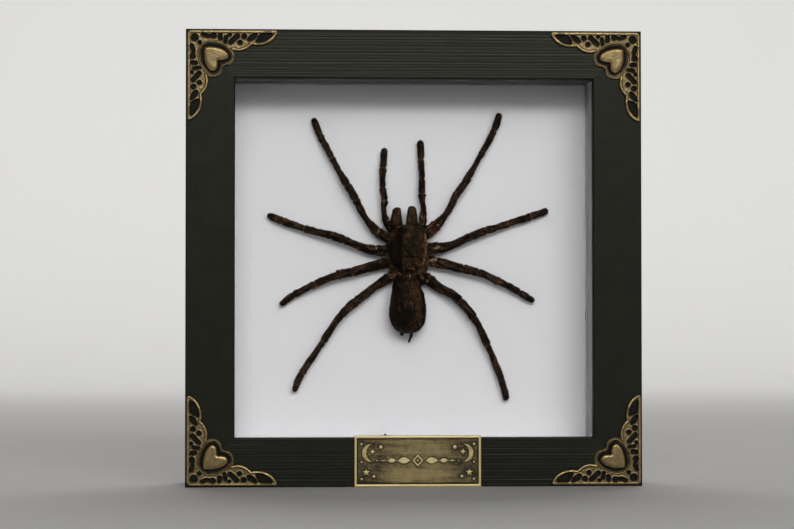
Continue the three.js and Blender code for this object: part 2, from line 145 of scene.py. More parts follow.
def gridFaces(rows, columns, around=True, start=0):
    # quads between neighbouring rows of a grid of points; `around` joins its last column to its first
    row = np.arange(rows - 1)[:, None] * columns
    column = np.arange(columns if around else columns - 1)[None]
    after = (column + 1) % columns
    quads = np.stack([row + column, row + after, row + columns + after, row + columns + column], -1)
    return start + quads.reshape(-1, 4)


def fanFaces(ring, tip):
    # triangles from each side of a ring to one point
    return np.stack([ring, np.roll(ring, -1), np.full(len(ring), tip)], 1)


def tubeFaces(rows, columns):
    # a closed tube: its sides, and a fan at each end to the two points that follow the grid
    first, last = np.arange(columns), np.arange(columns) + (rows - 1) * columns
    ends = rows * columns
    return [gridFaces(rows, columns), fanFaces(first[::-1], ends), fanFaces(last, ends + 1)]


def unitBall(levels, sides):
    # the rings of a ball from its top to its bottom, then its two poles, for tubeFaces
    turn = np.linspace(0, 2 * math.pi, sides, endpoint=False)
    level = np.linspace(0, math.pi, levels + 2)[1:-1, None]
    rings = np.stack([np.sin(level) * np.cos(turn), np.sin(level) * np.sin(turn), np.cos(level) + 0 * turn],
                     -1)
    return np.concatenate([rings.reshape(-1, 3), [[0, 0, 1], [0, 0, -1]]])


def repeatFaces(faceSets, copies, size):
    # the faces of several copies of one shape, each of which has this many points
    return [np.concatenate([faces + copy * size for copy in range(copies)]) for faces in faceSets]


def volumeOf(points, faces):
    # the signed volume under faces of one size, by the sum of their triangles' triple products
    first = points[faces[:, 0]]
    return sum(
        np.einsum("ij,ij->", first, np.cross(points[faces[:, k]], points[faces[:, k + 1]]))
        for k in range(1, faces.shape[1] - 1)
    ) / 6


def makePiece(name, points, faceSets, finish, replaces=(), values={}, uv=None, sharp=None):
    # one closed mesh from its points and its faces, turned outwards and set on the root body
    faceSets = [np.asarray(faces) for faces in faceSets]
    if sum(volumeOf(points, faces) for faces in faceSets) < 0:
        faceSets = [faces[:, ::-1] for faces in faceSets]
    mesh = bpy.data.meshes.new(name)
    mesh.vertices.add(len(points))
    mesh.vertices.foreach_set("co", (points * mm).astype(np.float32).ravel())
    corners = np.concatenate([faces.ravel() for faces in faceSets]).astype(np.int32)
    sizes = np.concatenate([np.full(len(faces), faces.shape[1]) for faces in faceSets])
    mesh.loops.add(len(corners))
    mesh.loops.foreach_set("vertex_index", corners)
    mesh.polygons.add(len(sizes))
    mesh.polygons.foreach_set("loop_start", (np.cumsum(sizes) - sizes).astype(np.int32))
    mesh.update(calc_edges=True)
    mesh.shade_smooth()
    if sharp is not None:
        mesh.set_sharp_from_angle(angle=math.radians(sharp))
    for key, value in values.items():
        mesh.attributes.new(key, "FLOAT", "POINT").data.foreach_set("value", value.astype(np.float32))
    if uv is not None:
        mesh.uv_layers.new(name="UVMap").data.foreach_set("uv", uv[corners].astype(np.float32).ravel())
    mesh.materials.append(finish)
    piece = bpy.data.objects.new(name, mesh)
    bpy.context.scene.collection.objects.link(piece)
    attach(piece, "root")
    if replaces:
        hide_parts(*replaces)


def quarterTurned(points, quarter):
    # turns points about the middle of the frame: bottom, left, top, right
    turned = points.copy()
    turned[:, 2] -= side / 2
    for _ in range(quarter):
        turned[:, 0], turned[:, 2] = turned[:, 2].copy(), -turned[:, 0].copy()
    turned[:, 2] += side / 2
    return turned


def easedCopy(node, width, finish):
    # a merged copy of a CAD node with its edges eased by a small round bevel
    shape = bmesh.new()
    shape.from_mesh(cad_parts[node].data)
    bmesh.ops.remove_doubles(shape, verts=shape.verts, dist=0.01 * mm)
    bmesh.ops.dissolve_limit(shape, angle_limit=math.radians(1), verts=shape.verts, edges=shape.edges)
    mesh = bpy.data.meshes.new(node + "_eased")
    shape.to_mesh(mesh)
    shape.free()
    mesh.materials.clear()
    mesh.materials.append(finish)
    piece = bpy.data.objects.new(node + "_eased", mesh)
    bpy.context.scene.collection.objects.link(piece)
    bevel = piece.modifiers.new("eased edges", "BEVEL")
    bevel.width = width * mm
    bevel.segments = 3
    bevel.limit_method = "ANGLE"
    bevel.angle_limit = math.radians(40)
    mesh.shade_smooth()
    mesh.set_sharp_from_angle(angle=math.radians(35))
    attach(piece, "root")
    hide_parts(node)


# materials

class Wire:
    # wraps an output socket, so that shader maths is an expression and adds its own Math nodes
    def __init__(self, tree, socket=None):
        self.tree = tree
        self.socket = socket

    # adds any node: its type, its settings first, then the values or links of its sockets
    def node(self, kind, settings={}, inputs={}, out=0):
        made = self.tree.nodes.new(kind)
        for key, value in settings.items():
            setattr(made, key, value)
        for key, value in inputs.items():
            if isinstance(value, Wire):
                self.tree.links.new(value.socket, made.inputs[key])
            else:
                made.inputs[key].default_value = value
        return Wire(self.tree, made.outputs[out] if made.outputs else None)

    def maths(self, operation, *values):
        return self.node("ShaderNodeMath", {"operation": operation}, dict(enumerate(values)))

    def __add__(self, other):
        return self.maths("ADD", self, other)

    def __sub__(self, other):
        return self.maths("SUBTRACT", self, other)

    def __rsub__(self, other):
        return self.maths("SUBTRACT", other, self)

    def __mul__(self, other):
        return self.maths("MULTIPLY", self, other)

    __radd__ = __add__
    __rmul__ = __mul__

    # 0 below low, 1 above high, eased between
    def between(self, low, high):
        return self.node("ShaderNodeMapRange", {"interpolation_type": "SMOOTHSTEP"},
                         {"Value": self, "From Min": low, "From Max": high})

    # one colour where this is 0, the other where it is 1
    def blend(self, none, full):
        colour = lambda value: value if isinstance(value, Wire) else (*value, 1)
        return self.node("ShaderNodeMix", {"data_type": "RGBA", "clamp_factor": True},
                         {0: self, 6: colour(none), 7: colour(full)}, out=2)

    # noise about its middle, from about -1 to 1, with lumps of this size along each axis
    def noise(self, size, detail=2.0):
        size = np.broadcast_to(size, 3)
        placed = self.node("ShaderNodeMapping", {}, {"Vector": self, "Scale": tuple(1 / size)})
        made = self.node("ShaderNodeTexNoise", {}, {"Vector": placed, "Scale": 1.0, "Detail": detail})
        return (made - 0.5) * 3.2

    def attribute(self, name):
        return self.node("ShaderNodeAttribute", {"attribute_name": name}, out="Fac")


def startFinish(name):
    # an empty material, a wire to add its nodes with, and the place on the object in millimetres
    finish = bpy.data.materials.new(name)
    finish.use_nodes = True
    finish.node_tree.nodes.clear()
    start = Wire(finish.node_tree)
    coordinates = start.node("ShaderNodeTexCoord", out="Object")
    place = start.node("ShaderNodeVectorMath", {"operation": "SCALE"}, {0: coordinates, "Scale": 1 / mm})
    return finish, start, place


def finishWith(start, sockets, height=None):
    # a Principled surface; height is a bump in millimetres
    if height is not None:
        bump = {"Height": height, "Distance": mm, "Strength": 1.0}
        sockets = {**sockets, "Normal": start.node("ShaderNodeBump", {}, bump)}
    shader = start.node("ShaderNodeBsdfPrincipled", {}, sockets)
    start.node("ShaderNodeOutputMaterial", {}, {"Surface": shader})


def combedBlack():
    # satin black, streaked along the rail and duller on its sides and back: the UV map holds millimetres
    # across and along it
    finish, start, place = startFinish("combed_black")
    strip = start.node("ShaderNodeTexCoord", out="UV")
    streak = strip.noise((0.35, 22, 1), 3)
    hair = strip.noise((0.09, 9, 1), 2)
    dust = place.noise(7, 4)
    offFace = start.node("ShaderNodeSeparateXYZ", {}, {"Vector": strip}, out="X").between(20.3, 21.3)
    tone = (streak * 0.5 + dust * 0.35 + 0.5).blend((0.0064, 0.0067, 0.0038), (0.0120, 0.0124, 0.0078))
    finishWith(start, {
        "Base Color": tone,
        "Roughness": hair * 0.04 + dust * 0.03 + offFace * 0.3 + 0.37,
        "Specular IOR Level": 0.34, "Specular Tint": (0.98, 1.0, 0.84, 1),
    }, streak * 0.008 + hair * 0.006)
    return finish


def clearGlass():
    # clear to light on its way in, glass to the eye
    finish, start, _ = startFinish("clear_glass")
    glass = start.node("ShaderNodeBsdfPrincipled", {}, {
        "Base Color": (0.99, 0.99, 0.99, 1), "Roughness": 0.0, "IOR": 1.45, "Transmission Weight": 1.0,
        "Specular IOR Level": 0.03, "Specular Tint": (0.1, 0.1, 0.1, 1),
    })
    clear = start.node("ShaderNodeBsdfTransparent", {}, {"Color": (0.975, 0.975, 0.975, 1)})
    shadow = start.node("ShaderNodeLightPath", out="Is Shadow Ray")
    mixed = start.node("ShaderNodeMixShader", {}, {0: shadow, 1: glass, 2: clear})
    start.node("ShaderNodeOutputMaterial", {}, {"Surface": mixed})
    return finish


def whitePaper(name, tint, fade):
    # smooth white paper: soft mottling, fine fibres and a faint tooth
    finish, start, place = startFinish(name)
    mottle = place.noise(26, 3)
    fibre = place.noise((0.9, 0.9, 0.22), 3)
    tone = (mottle * fade + fibre * 0.12 + 0.5).blend(tuple(0.97 * c for c in tint), tint)
    finishWith(start, {"Base Color": tone, "Roughness": fibre * 0.04 + 0.86,
                       "Specular IOR Level": 0.25}, fibre * 0.006 + place.noise(0.35, 2) * 0.004)
    return finish


def antiqueBrass(name, bright, dull, dark, rough, brushed):
    # stamped brass: dark in the recesses, rubbed bright on what stands up, by the amount kept in `rub`
    finish, start, place = startFinish(name)
    rub = start.attribute("rub")
    stain = place.noise(2.2, 4)
    speck = place.noise(0.5, 3)
    grain = place.noise((9, 9, 0.16) if brushed else 0.22, 3)
    wear = rub + stain * 0.1 + speck * 0.1 + grain * (0.11 if brushed else 0.05)
    tone = wear.between(0.1, 0.5).blend(dark, dull)
    tone = wear.between(0.5, 0.95).blend(tone, bright)
    finishWith(start, {
        "Base Color": tone,
        "Metallic": wear.between(0.05, 0.5) * 0.8 + 0.15,
        "Roughness": rough - wear.between(0.2, 0.9) * 0.15 + speck * 0.05,
        "Specular IOR Level": 0.2,
    }, speck * 0.012 + grain * 0.008)
    return finish


def slotShadeFilm():
    # a dull, uneven dark film behind the corners: painted shade that darkens their slots
    finish, start, place = startFinish("slot_shade_film")
    cloud = place.noise(0.9, 3)
    tone = (cloud * 0.8 + 0.5).blend((0.0065, 0.0061, 0.0047), (0.0300, 0.0285, 0.0220))
    finishWith(start, {"Base Color": tone, "Roughness": cloud * 0.08 + 0.62, "Specular IOR Level": 0.12},
               cloud * 0.03)
    return finish


def zincSteel():
    # zinc plate: clouded grey with faint rolling lines
    finish, start, place = startFinish("zinc_plate")
    cloud = place.noise(1.6, 4)
    line = place.noise((7, 7, 0.18), 2)
    tone = (cloud * 0.3 + line * 0.15 + 0.5).blend((0.36, 0.37, 0.38), (0.62, 0.63, 0.64))
    finishWith(start, {"Base Color": tone, "Metallic": 0.95, "Roughness": cloud * 0.06 + 0.36},
               cloud * 0.01 + line * 0.006)
    return finish


def fibreBoard():
    # brown hardboard: pressed fibres and a few dark flecks
    finish, start, place = startFinish("fibre_board")
    fibre = place.noise((0.5, 0.5, 2.6), 4) + place.noise((2.6, 0.5, 0.5), 4)
    cloud = place.noise(18, 3)
    fleck = place.noise(0.8, 2).between(0.75, 1.15)
    tone = (fibre * 0.16 + cloud * 0.22 + 0.5).blend((0.13, 0.075, 0.04), (0.29, 0.185, 0.105))
    tone = (fleck * 0.6).blend(tone, (0.06, 0.035, 0.02))
    finishWith(start, {"Base Color": tone, "Roughness": fibre * 0.04 + 0.78, "Specular IOR Level": 0.3},
               fibre * 0.02 + place.noise(0.3, 2) * 0.01)
    return finish


def driedSkin(name, darkTone, midTone, warmTone, fleckTone, roughness):
    # dry cuticle: mottled browns with light flecks, pale membrane at the joints, warm skin where it is thin
    finish, start, place = startFinish(name)
    cloud = place.noise(3.2, 4)
    grain = place.noise(0.45, 3)
    pore = place.noise(0.16, 2)
    tone = (cloud * 0.4 + grain * 0.45 + 0.42).blend(darkTone, midTone)
    tone = (start.attribute("warm") + grain * 0.25 + cloud * 0.1).between(0.25, 1.0).blend(tone, warmTone)
    tone = (start.attribute("fleck") + grain * 0.25).between(0.3, 1.0).blend(tone, fleckTone)
    tone = (start.attribute("dark") + grain * 0.12).between(0.05, 0.75).blend(tone, (0.0014, 0.0013, 0.0011))
    tone = (start.attribute("pale") + grain * 0.15).between(0.3, 0.85).blend(tone, (0.34, 0.24, 0.13))
    tone = start.attribute("red").blend(tone, (0.15, 0.034, 0.016))
    finishWith(start, {
        "Base Color": tone,
        "Roughness": grain * 0.07 + cloud * 0.05 + roughness,
        "Specular IOR Level": 0.1, "Specular Tint": (1.0, 0.72, 0.48, 1),
    }, grain * 0.06 + pore * 0.03 + cloud * 0.04)
    return finish


def fineHair():
    # brown bristles, each with its own shade and a lighter tip
    finish, start, _ = startFinish("fine_hair")
    shade = start.attribute("shade")
    tip = start.attribute("tip")
    tone = shade.blend((0.0030, 0.0018, 0.0010), (0.066, 0.0350, 0.0175))
    tone = (tip * 0.3).blend(tone, (0.090, 0.054, 0.030))
    finishWith(start, {"Base Color": tone, "Roughness": shade * 0.1 + 0.45,
                       "Specular IOR Level": 0.1, "Specular Tint": (1.0, 0.72, 0.48, 1)})
    return finish


def shinyBlack():
    # eyes and fangs: polished black-brown
    finish, start, place = startFinish("shiny_black")
    tone = (place.noise(0.4, 2) * 0.4 + 0.5).blend((0.004, 0.003, 0.0025), (0.014, 0.008, 0.005))
    finishWith(start, {"Base Color": tone, "Roughness": place.noise(0.6, 2) * 0.03 + 0.18})
    return finish


# camera, light and floor

view = {"place": (-59.23, -1048.92, 71.76), "turn": (91.510, 0.013, -2.850), "lens": 105.0, "sensor": 36.0}
studio = {
    # lights aimed at the middle of the frame, as [bearing, height, away, width, height, strength, spread]
    "key": [8, 23.3, 4000, 3600, 640, 21.7, 110], "over": [172, 58, 3200, 2600, 1600, 26, 180],
    "roomTone": (1.0, 0.97, 0.92), "roomStrength": 0.024, "paleTone": (0.80, 0.80, 0.79),
    "floorHalf": 6000, "floorBack": 1500, "sweep": 1400, "wallTop": 3600, "glowFrom": 500, "glowTo": 2600,
}


def placeCamera():
    data = bpy.data.cameras.new("camera")
    data.lens = view["lens"]
    data.sensor_width = view["sensor"]
    data.clip_start = 0.05
    data.clip_end = 60
    camera = bpy.data.objects.new("camera", data)
    camera.location = [c * mm for c in view["place"]]
    camera.rotation_euler = [math.radians(a) for a in view["turn"]]
    bpy.context.scene.collection.objects.link(camera)
    bpy.context.scene.camera = camera


def lightRoom():
    # a broad soft key from the right above the viewer, a soft light over and behind, and a dim even room
    for name in ["key", "over"]:
        bearing, height, away, wide, high, strength, spread = studio[name]
        bearing, height, away = math.radians(bearing), math.radians(height), away * mm
        data = bpy.data.lights.new(name, "AREA")
        data.shape = "RECTANGLE"
        data.size = wide * mm
        data.size_y = high * mm
        data.energy = strength
        data.spread = math.radians(spread)
        lamp = bpy.data.objects.new(name, data)
        level = away * math.cos(height)
        lamp.location = (level * math.sin(bearing), -level * math.cos(bearing),
                         side / 2 * mm + away * math.sin(height))
        lamp.rotation_euler = (math.pi / 2 - height, 0, bearing)
        bpy.context.scene.collection.objects.link(lamp)

    world = bpy.data.worlds.new("studio")
    world.use_nodes = True
    world.node_tree.nodes.clear()
    bpy.context.scene.world = world
    start = Wire(world.node_tree)
    room = start.node("ShaderNodeBackground", {}, {"Color": (*studio["roomTone"], 1),
                                                   "Strength": studio["roomStrength"]})
    pale = start.node("ShaderNodeBackground", {}, {"Color": (*studio["paleTone"], 1), "Strength": 0.9})
    seen = start.node("ShaderNodeLightPath", out="Is Camera Ray")
    mixed = start.node("ShaderNodeMixShader", {}, {0: seen, 1: room, 2: pale})
    start.node("ShaderNodeOutputWorld", {}, {"Surface": mixed})
    bpy.context.scene.view_settings.view_transform = "Standard"


def makeFloor():
    # a pale floor that sweeps up into a wall behind: flat, then a quarter circle, then upright
    back, sweep = studio["floorBack"], studio["sweep"]
    bend = np.linspace(0, math.pi / 2, 24)
    y = np.concatenate([[-studio["floorHalf"], 0], back + sweep * np.sin(bend), [back + sweep]])
    z = np.concatenate([[0, 0], sweep - sweep * np.cos(bend), [studio["wallTop"]]])
    profile = np.stack([np.zeros(len(y)), y, z], 1)
    points = np.concatenate([profile + (way * studio["floorHalf"], 0, 0) for way in (-1, 1)])
    mesh = bpy.data.meshes.new("pale_floor")
    quads = gridFaces(2, len(y), around=False)[:, ::-1]
    mesh.from_pydata((points * mm).tolist(), [], quads.tolist())
    mesh.shade_smooth()
    finish, start, place = startFinish("pale_paper")
    tone = (place.noise(60, 3) * 0.3 + 0.5).blend((0.76, 0.75, 0.735), (0.80, 0.79, 0.775))
    depth = place.node("ShaderNodeSeparateXYZ", {}, {"Vector": place}, out="Y")
    glow = depth.between(studio["glowFrom"], studio["glowTo"]).blend((0, 0, 0), studio["paleTone"])
    finishWith(start, {"Base Color": tone, "Roughness": 0.9, "Specular IOR Level": 0.2,
                       "Emission Color": glow, "Emission Strength": 0.5})
    mesh.materials.append(finish)
    floor = bpy.data.objects.new("pale_floor", mesh)
    bpy.context.scene.collection.objects.link(floor)


placeCamera()
lightRoom()
makeFloor()
print("camera, light and floor are in place")


# rails

moulding = {
    "face": 21.85, "depth": 36, "lip": 5, "rabbet": 5.5, "ease": 0.7, "soft": 0.25, "mitreGap": 0.04,
    # deep combed lines as [distance in from the outer side, depth, half width]
    "cuts": [[2.1, 0.05, 0.3], [3.4, 0.14, 0.24], [4.8, 0.06, 0.2], [6.0, 0.03, 0.3], [7.4, 0.12, 0.26],
             [9.2, 0.07, 0.22], [10.5, 0.14, 0.22], [12.0, 0.04, 0.3], [13.2, 0.06, 0.24],
             [14.6, 0.11, 0.26], [15.9, 0.07, 0.2], [17.1, 0.12, 0.2], [18.3, 0.05, 0.25],
             [19.2, 0.09, 0.22]],
    "wave": 0.035, "wavePitch": 0.62, "comb": 0.016, "combPitch": 0.2, "sideComb": 0.045,
    "step": 0.1, "stations": 78,
    # how strongly each rail is combed: bottom, left, top, right
    "strength": [0.5, 0.28, 0.46, 0.28],
}


def acrossAlong(across, along, acrossSize, alongSize):
    # places for noise that is drawn out along a rail
    return np.stack([across / acrossSize, along / alongSize, 0 * across], -1)


def railSection():
    # the rail's closed outline as [distance in, depth], and how much of the combing each point takes
    m = moulding
    arc = np.linspace(0, math.pi / 2, 7)[1:-1]
    front = np.arange(m["ease"], m["face"] - m["ease"] + 0.001, m["step"])
    stretches = [
        (np.stack([front, 0 * front], 1), 1),
        (np.stack([m["face"] - m["ease"] + m["ease"] * np.sin(arc), m["ease"] * (1 - np.cos(arc))], 1), 0),
        (np.array([[m["face"], d] for d in np.linspace(m["ease"], m["lip"], 6)]), 0),
        (np.array([[u, m["lip"]] for u in np.linspace(m["face"] - 0.2, m["face"] - m["rabbet"], 5)]), 0),
        (np.array([[m["face"] - m["rabbet"], d] for d in np.linspace(m["lip"] + 0.3, m["depth"], 8)]), 0),
        (np.array([[u, m["depth"]] for u in np.linspace(m["face"] - m["rabbet"] - 0.3, 0.3, 8)]), 0),
        (np.stack([0 * front[:-1], np.linspace(m["depth"], m["ease"], len(front) - 1)], 1), 2),
        (np.stack([m["ease"] * (1 - np.sin(arc)), m["ease"] * (1 - np.cos(arc))], 1)[::-1], 0),
    ]
    points = np.concatenate([points for points, _ in stretches])
    kinds = np.concatenate([np.full(len(points), kind) for points, kind in stretches])
    return points, kinds


def combing(across, along, seed):
    # how deep the face is combed: narrow cuts that wander and fade along the rail, over two finer waves
    m = moulding
    random = np.random.default_rng(seed)
    wander = 0.06 * lumps(acrossAlong(across, along, 3, 55), 1, seed)
    depth = 0
    for place, cut, width in m["cuts"]:
        fade = 0.75 + 0.35 * lumps(acrossAlong(0 * across + place * 7, along, 1, 38), 1, seed + 1)
        depth = depth + cut * random.uniform(0.6, 1.15) * fade * hump(across - place + wander, width)
    waves = lumps(acrossAlong(across + wander, along, m["wavePitch"], 70), 1, 5)
    fine = lumps(acrossAlong(across + wander, along, m["combPitch"], 30), 1, seed + 2)
    return depth + m["wave"] * (1 + waves) + m["comb"] * (1 + fine)


def makeRails(finish):
    # a profile carried along each side, its ends mitred by drawing each point in by its distance in
    section, kinds = railSection()
    count = len(section)
    inward, depth = section[:, 0], section[:, 1]
    t = np.linspace(-1, 1, moulding["stations"])[:, None]
    along = t * (side / 2 - inward - moulding["mitreGap"])
    across = np.broadcast_to(inward, along.shape)
    last = moulding["face"] - moulding["ease"]
    margin = ease(moulding["ease"], moulding["ease"] + 0.5, across) * ease(last, last - 0.5, across)
    girthRun = np.cumsum(np.linalg.norm(np.diff(section, axis=0, prepend=section[:1]), axis=1))
    ends = [np.arange(count)[None, ::-1], np.arange(count)[None] + (len(t) - 1) * count]
    for quarter, name in enumerate(["rail_bottom", "rail_left", "rail_top", "rail_right"]):
        cut = combing(across, along, 11 + quarter) * (kinds == 1) * margin * moulding["strength"][quarter]
        sideLines = lumps(acrossAlong(depth + 0 * along, along, 0.5, 60), 1, 31 + quarter)
        sideCut = moulding["sideComb"] * (1 + sideLines) * (kinds == 2)
        points = np.stack([along, railFront + depth + cut, inward + sideCut], -1).reshape(-1, 3)
        uv = np.stack([girthRun + 0 * along, along + 300 * quarter], -1).reshape(-1, 2)
        makePiece(name + "_combed", quarterTurned(points, quarter), [gridFaces(len(t), count), *ends],
                  finish, [name], uv=uv, sharp=50)


makeRails(combedBlack())
print("rails are combed and mitred")


# glass, board and liners

board = {"gapWide": 0.55, "gapDeep": 1.7, "margin": 2.2, "fine": 0.14, "coarse": 2.4, "bow": 0.05}
# each sheet's paper as [colour, how mottled]. The liners are one white foam board given lit and shaded
# tones: the top one is painted dark as shade where it faces down out of the light, the bottom one is painted
# lighter where it faces up into it, and the sides are grey, partly the foam's greyer cut edge and partly
# painted shade
papersWithPaintedShade = {"mount_board": [(0.80, 0.80, 0.815), 0.25], "liner_bottom": [(0.62, 0.62, 0.62), 0.25],
          "liner_top": [(0.125, 0.125, 0.11), 0.6], "liner_left": [(0.42, 0.42, 0.41), 0.5],
          "liner_right": [(0.42, 0.42, 0.41), 0.5]}


def makeBoard(finish):
    # a flat sheet whose front dips into an uneven slot along the top and the right, where its cut edge
    # falls short of the liners
    low, high = (np.array(c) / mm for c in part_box("mount_board"))
    inner = (boxHigh - boxLow) / 2
    middle = (boxHigh + boxLow) / 2

    def lines(first, last, centre):
        edges = [centre - inner, centre + inner]
        margin = board["margin"]
        near = np.concatenate([np.arange(e - margin, e + margin, board["fine"]) for e in edges])
        far = np.arange(first, last, board["coarse"])
        far = far[np.abs(np.abs(far - centre) - inner) > margin + 0.5]
        return np.sort(np.concatenate([[first, last], near, far[1:]]))

    x, z = lines(low[0], high[0], 0), lines(low[2], high[2], middle)
    gridX, gridZ = np.meshgrid(x, z)
    spot = np.stack([gridX, 0 * gridX, gridZ], -1)
    rag = lumps(spot, 5, 3) * 0.5 + lumps(spot, 1.3, 4) * 0.35 + lumps(spot, 0.5, 6) * 0.2
    edge = board["gapWide"] * (1 + 0.8 * rag)
    dip = 0
    for distance in (inner - gridX, inner - (gridZ - middle)):
        dip = np.maximum(dip, ease(edge + 0.12, edge - 0.12, distance) * ease(-1.2, -0.6, distance))
    bow = board["bow"] * (lumps(spot, 40, 9) + 1)
    front = np.stack([gridX, low[1] + bow + board["gapDeep"] * dip, gridZ], -1)
    rows, columns = gridX.shape
    number = np.arange(rows * columns).reshape(rows, columns)
    rim = np.concatenate([number[0], number[1:, -1], number[-1, -2::-1], number[-2:0:-1, 0]])
    rimPoints = front.reshape(-1, 3)[rim].copy()
    rimPoints[:, 1] = high[1]
    backRim = rows * columns + np.arange(len(rim))
    walls = np.stack([rim, np.roll(rim, -1), np.roll(backRim, -1), backRim], 1)[:, ::-1]
    points = np.concatenate([front.reshape(-1, 3), rimPoints])
    makePiece("mount_board_cut", points,
              [gridFaces(rows, columns, around=False), walls, backRim[None, ::-1]],
              finish, ["mount_board"], sharp=40)


def makeSheets():
    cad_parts["glass"].data.materials.clear()
    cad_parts["glass"].data.materials.append(clearGlass())
    for name, (tint, mottle) in papersWithPaintedShade.items():
        paper = whitePaper(name + "_paper", tint, mottle)
        if name == "mount_board":
            makeBoard(paper)
        else:
            easedCopy(name, 0.12, paper)


# each crumb as [x, y from the board, height, radius]
crumbs = [[-12.0, -0.4, 0.9, 0.45], [-13.4, -1.6, 0.3, 0.4], [-10.6, -2.4, 0.25, 0.32],
          [21.4, -1.2, 0.22, 0.3]]


def makeCrumbs(finish):
    # crumbs of dried skin on the box's floor: balls knocked out of round
    ball = unitBall(12, 22)
    points = []
    for number, (x, y, z, radius) in enumerate(crumbs):
        reach = radius * (1 + 0.35 * lumps(ball * 1.3 + 9 * number, 1, 12) + 0.15 * lumps(ball * 3.1, 1, 13))
        points.append(ball * reach[:, None] * (1, 0.7, 0.9) + (x, boardFront + y, boxLow + z + 0.05))
    points = np.concatenate(points)
    makePiece("crumbs", points, repeatFaces(tubeFaces(12, 22), len(crumbs), len(ball)), finish,
              values={"fleck": np.full(len(points), 0.3)})


makeSheets()
print("glass, board and liners are in place")


# stamped brass

def stampedSheet(outside, height, low, high, step):
    # a sheet cut to where outside(points) is negative: grid points near its edge are drawn onto the edge,
    # whole and three-cornered cells are kept, then the sheet is closed by a flat back and upright walls
    x = np.arange(low[0], high[0] + step, step)
    z = np.arange(low[1], high[1] + step, step)
    gridX, gridZ = np.meshgrid(x, z)
    at = np.stack([gridX.ravel(), gridZ.ravel()], 1)
    away = outside(at)
    near = np.abs(away) < 1.5 * step
    for _ in range(2):
        spot = at[near]
        here = outside(spot)
        slope = np.stack([outside(spot + (0.02, 0)) - outside(spot - (0.02, 0)),
                          outside(spot + (0, 0.02)) - outside(spot - (0, 0.02))], 1)
        slope /= np.maximum(np.linalg.norm(slope, axis=1), 1e-6)[:, None]
        move = np.abs(here) < 0.56 * step
        spot[move] -= slope[move] * here[move, None]
        at[near] = spot
        away[near] = np.where(move, 0, here)
    inside = away <= 1e-9
    quads = gridFaces(len(z), len(x), around=False)
    held = inside[quads]
    whole = quads[held.all(1)]
    three = quads[held.sum(1) == 3]
    kept = held[held.sum(1) == 3]
    corners = three[kept].reshape(-1, 3)
    used = np.unique(np.concatenate([whole.ravel(), corners.ravel()]))
    number = np.full(len(at), -1)
    number[used] = np.arange(len(used))
    whole, corners = number[whole], number[corners]
    at = at[used]
    edges = np.concatenate([np.stack([faces, np.roll(faces, -1, axis=1)], -1).reshape(-1, 2)
                            for faces in (whole, corners)])
    keys = np.sort(edges, axis=1) @ [len(at), 1]
    _, first, counts = np.unique(keys, return_index=True, return_counts=True)
    rim = edges[first[counts == 1]]
    rise = height(at)
    count = len(at)
    front = np.stack([at[:, 0], -rise, at[:, 1]], 1)
    back = np.stack([at[:, 0], 0 * rise, at[:, 1]], 1)
    walls = np.stack([rim[:, 1], rim[:, 0], rim[:, 0] + count, rim[:, 1] + count], 1)
    faceSets = [whole, corners, whole[:, ::-1] + count, corners[:, ::-1] + count, walls]
    return np.concatenate([front, back]), faceSets, rise


corner = {
    "arm": 40, "inset": 0.8, "seat": 0.1, "round": 1.8, "tip": 0.9, "step": 0.17,
    "floor": 0.78, "band": 1.25, "bandRise": 0.52, "lip": 0.2, "channel": 0.5, "rim": 1.25, "rimHalf": 0.36,
    "heartFoot": 1.55, "heartTop": 2.38, "shadeFilm": 0.06, "shadeFilmIn": 0.35, "shadeFilmLift": 0.005,
    "scallops": [[[38.2, 5.2], [33.5, 7.6], [28.6, 6.3]], [[26.6, 8.6], [23.3, 10], [20.2, 8.8]],
                 [[21.8, 12], [20, 15.8], [16.9, 15.4]]],
    "notch": [16.1, 16.1],
    # the heart and the line around it, as [along the diagonal, aside]
    "heart": [[10.4, 0], [12, 2.1], [15, 4.4], [18.4, 5.7], [21, 5.2], [21.6, 3.1], [20.4, 1]],
    "heartNotch": 19.4,
    "line": [[9.0, 0], [10, 3], [11.8, 4.8], [14, 6.2], [15.9, 6.9], [18.2, 7.2], [20.8, 7.0], [22.5, 6.1],
             [23.3, 4.5], [23.3, 2.6], [22.7, 1.2], [22.1, 0]],
    # pierced bars as [start, end, half width], on the diagonal and along one arm
    "middleBars": [[[3.2, 3.2], [3.2, 3.2], 1.62], [[5.5, 5.5], [5.5, 5.5], 0.85]],
    "bars": [[[6.9, 1.9], [8.8, 2.6], 0.85], [[8.8, 2.6], [11.3, 2.4], 0.72],
             [[11.4, 2.3], [11.7, 2.3], 1.15], [[14.5, 2.2], [14.7, 3.6], 0.9],
             [[17.1, 3.0], [16.8, 5.1], 0.78], [[18.6, 2.0], [18.9, 2.0], 0.66],
             [[19.2, 5.2], [22.2, 2.5], 1.0], [[25.2, 2.6], [25.2, 2.7], 1.12],
             [[23.3, 5.3], [23.4, 5.4], 0.95]],
    "wedges": [[[26.7, 3.9], [28.4, 1.9], [31.0, 1.3], [30.2, 3.3], [28.6, 4.5], [27.2, 4.7]],
               [[30.7, 5.2], [32.2, 1.7], [37.9, 1.4], [37.2, 2.6], [35.7, 4.1], [33.4, 5.4]]],
}


def onDiagonal(pairs):
    # points given along and aside of the diagonal, as places in the corner's own square
    along, aside = np.array(pairs, float).T
    return np.stack([along + aside, along - aside], 1) / math.sqrt(2)


def bezier(points, count):
    # the cubic curve of four control points, without its first point
    t = np.linspace(0, 1, count + 1)[1:, None]
    a, b, c, d = np.array(points, float)
    return (1 - t) ** 3 * a + 3 * (1 - t) ** 2 * t * b + 3 * (1 - t) * t ** 2 * c + t ** 3 * d


def bothSides(half):
    # an outline from its half on one side of the diagonal
    return np.concatenate([half, half[1:-1][::-1][:, ::-1]])


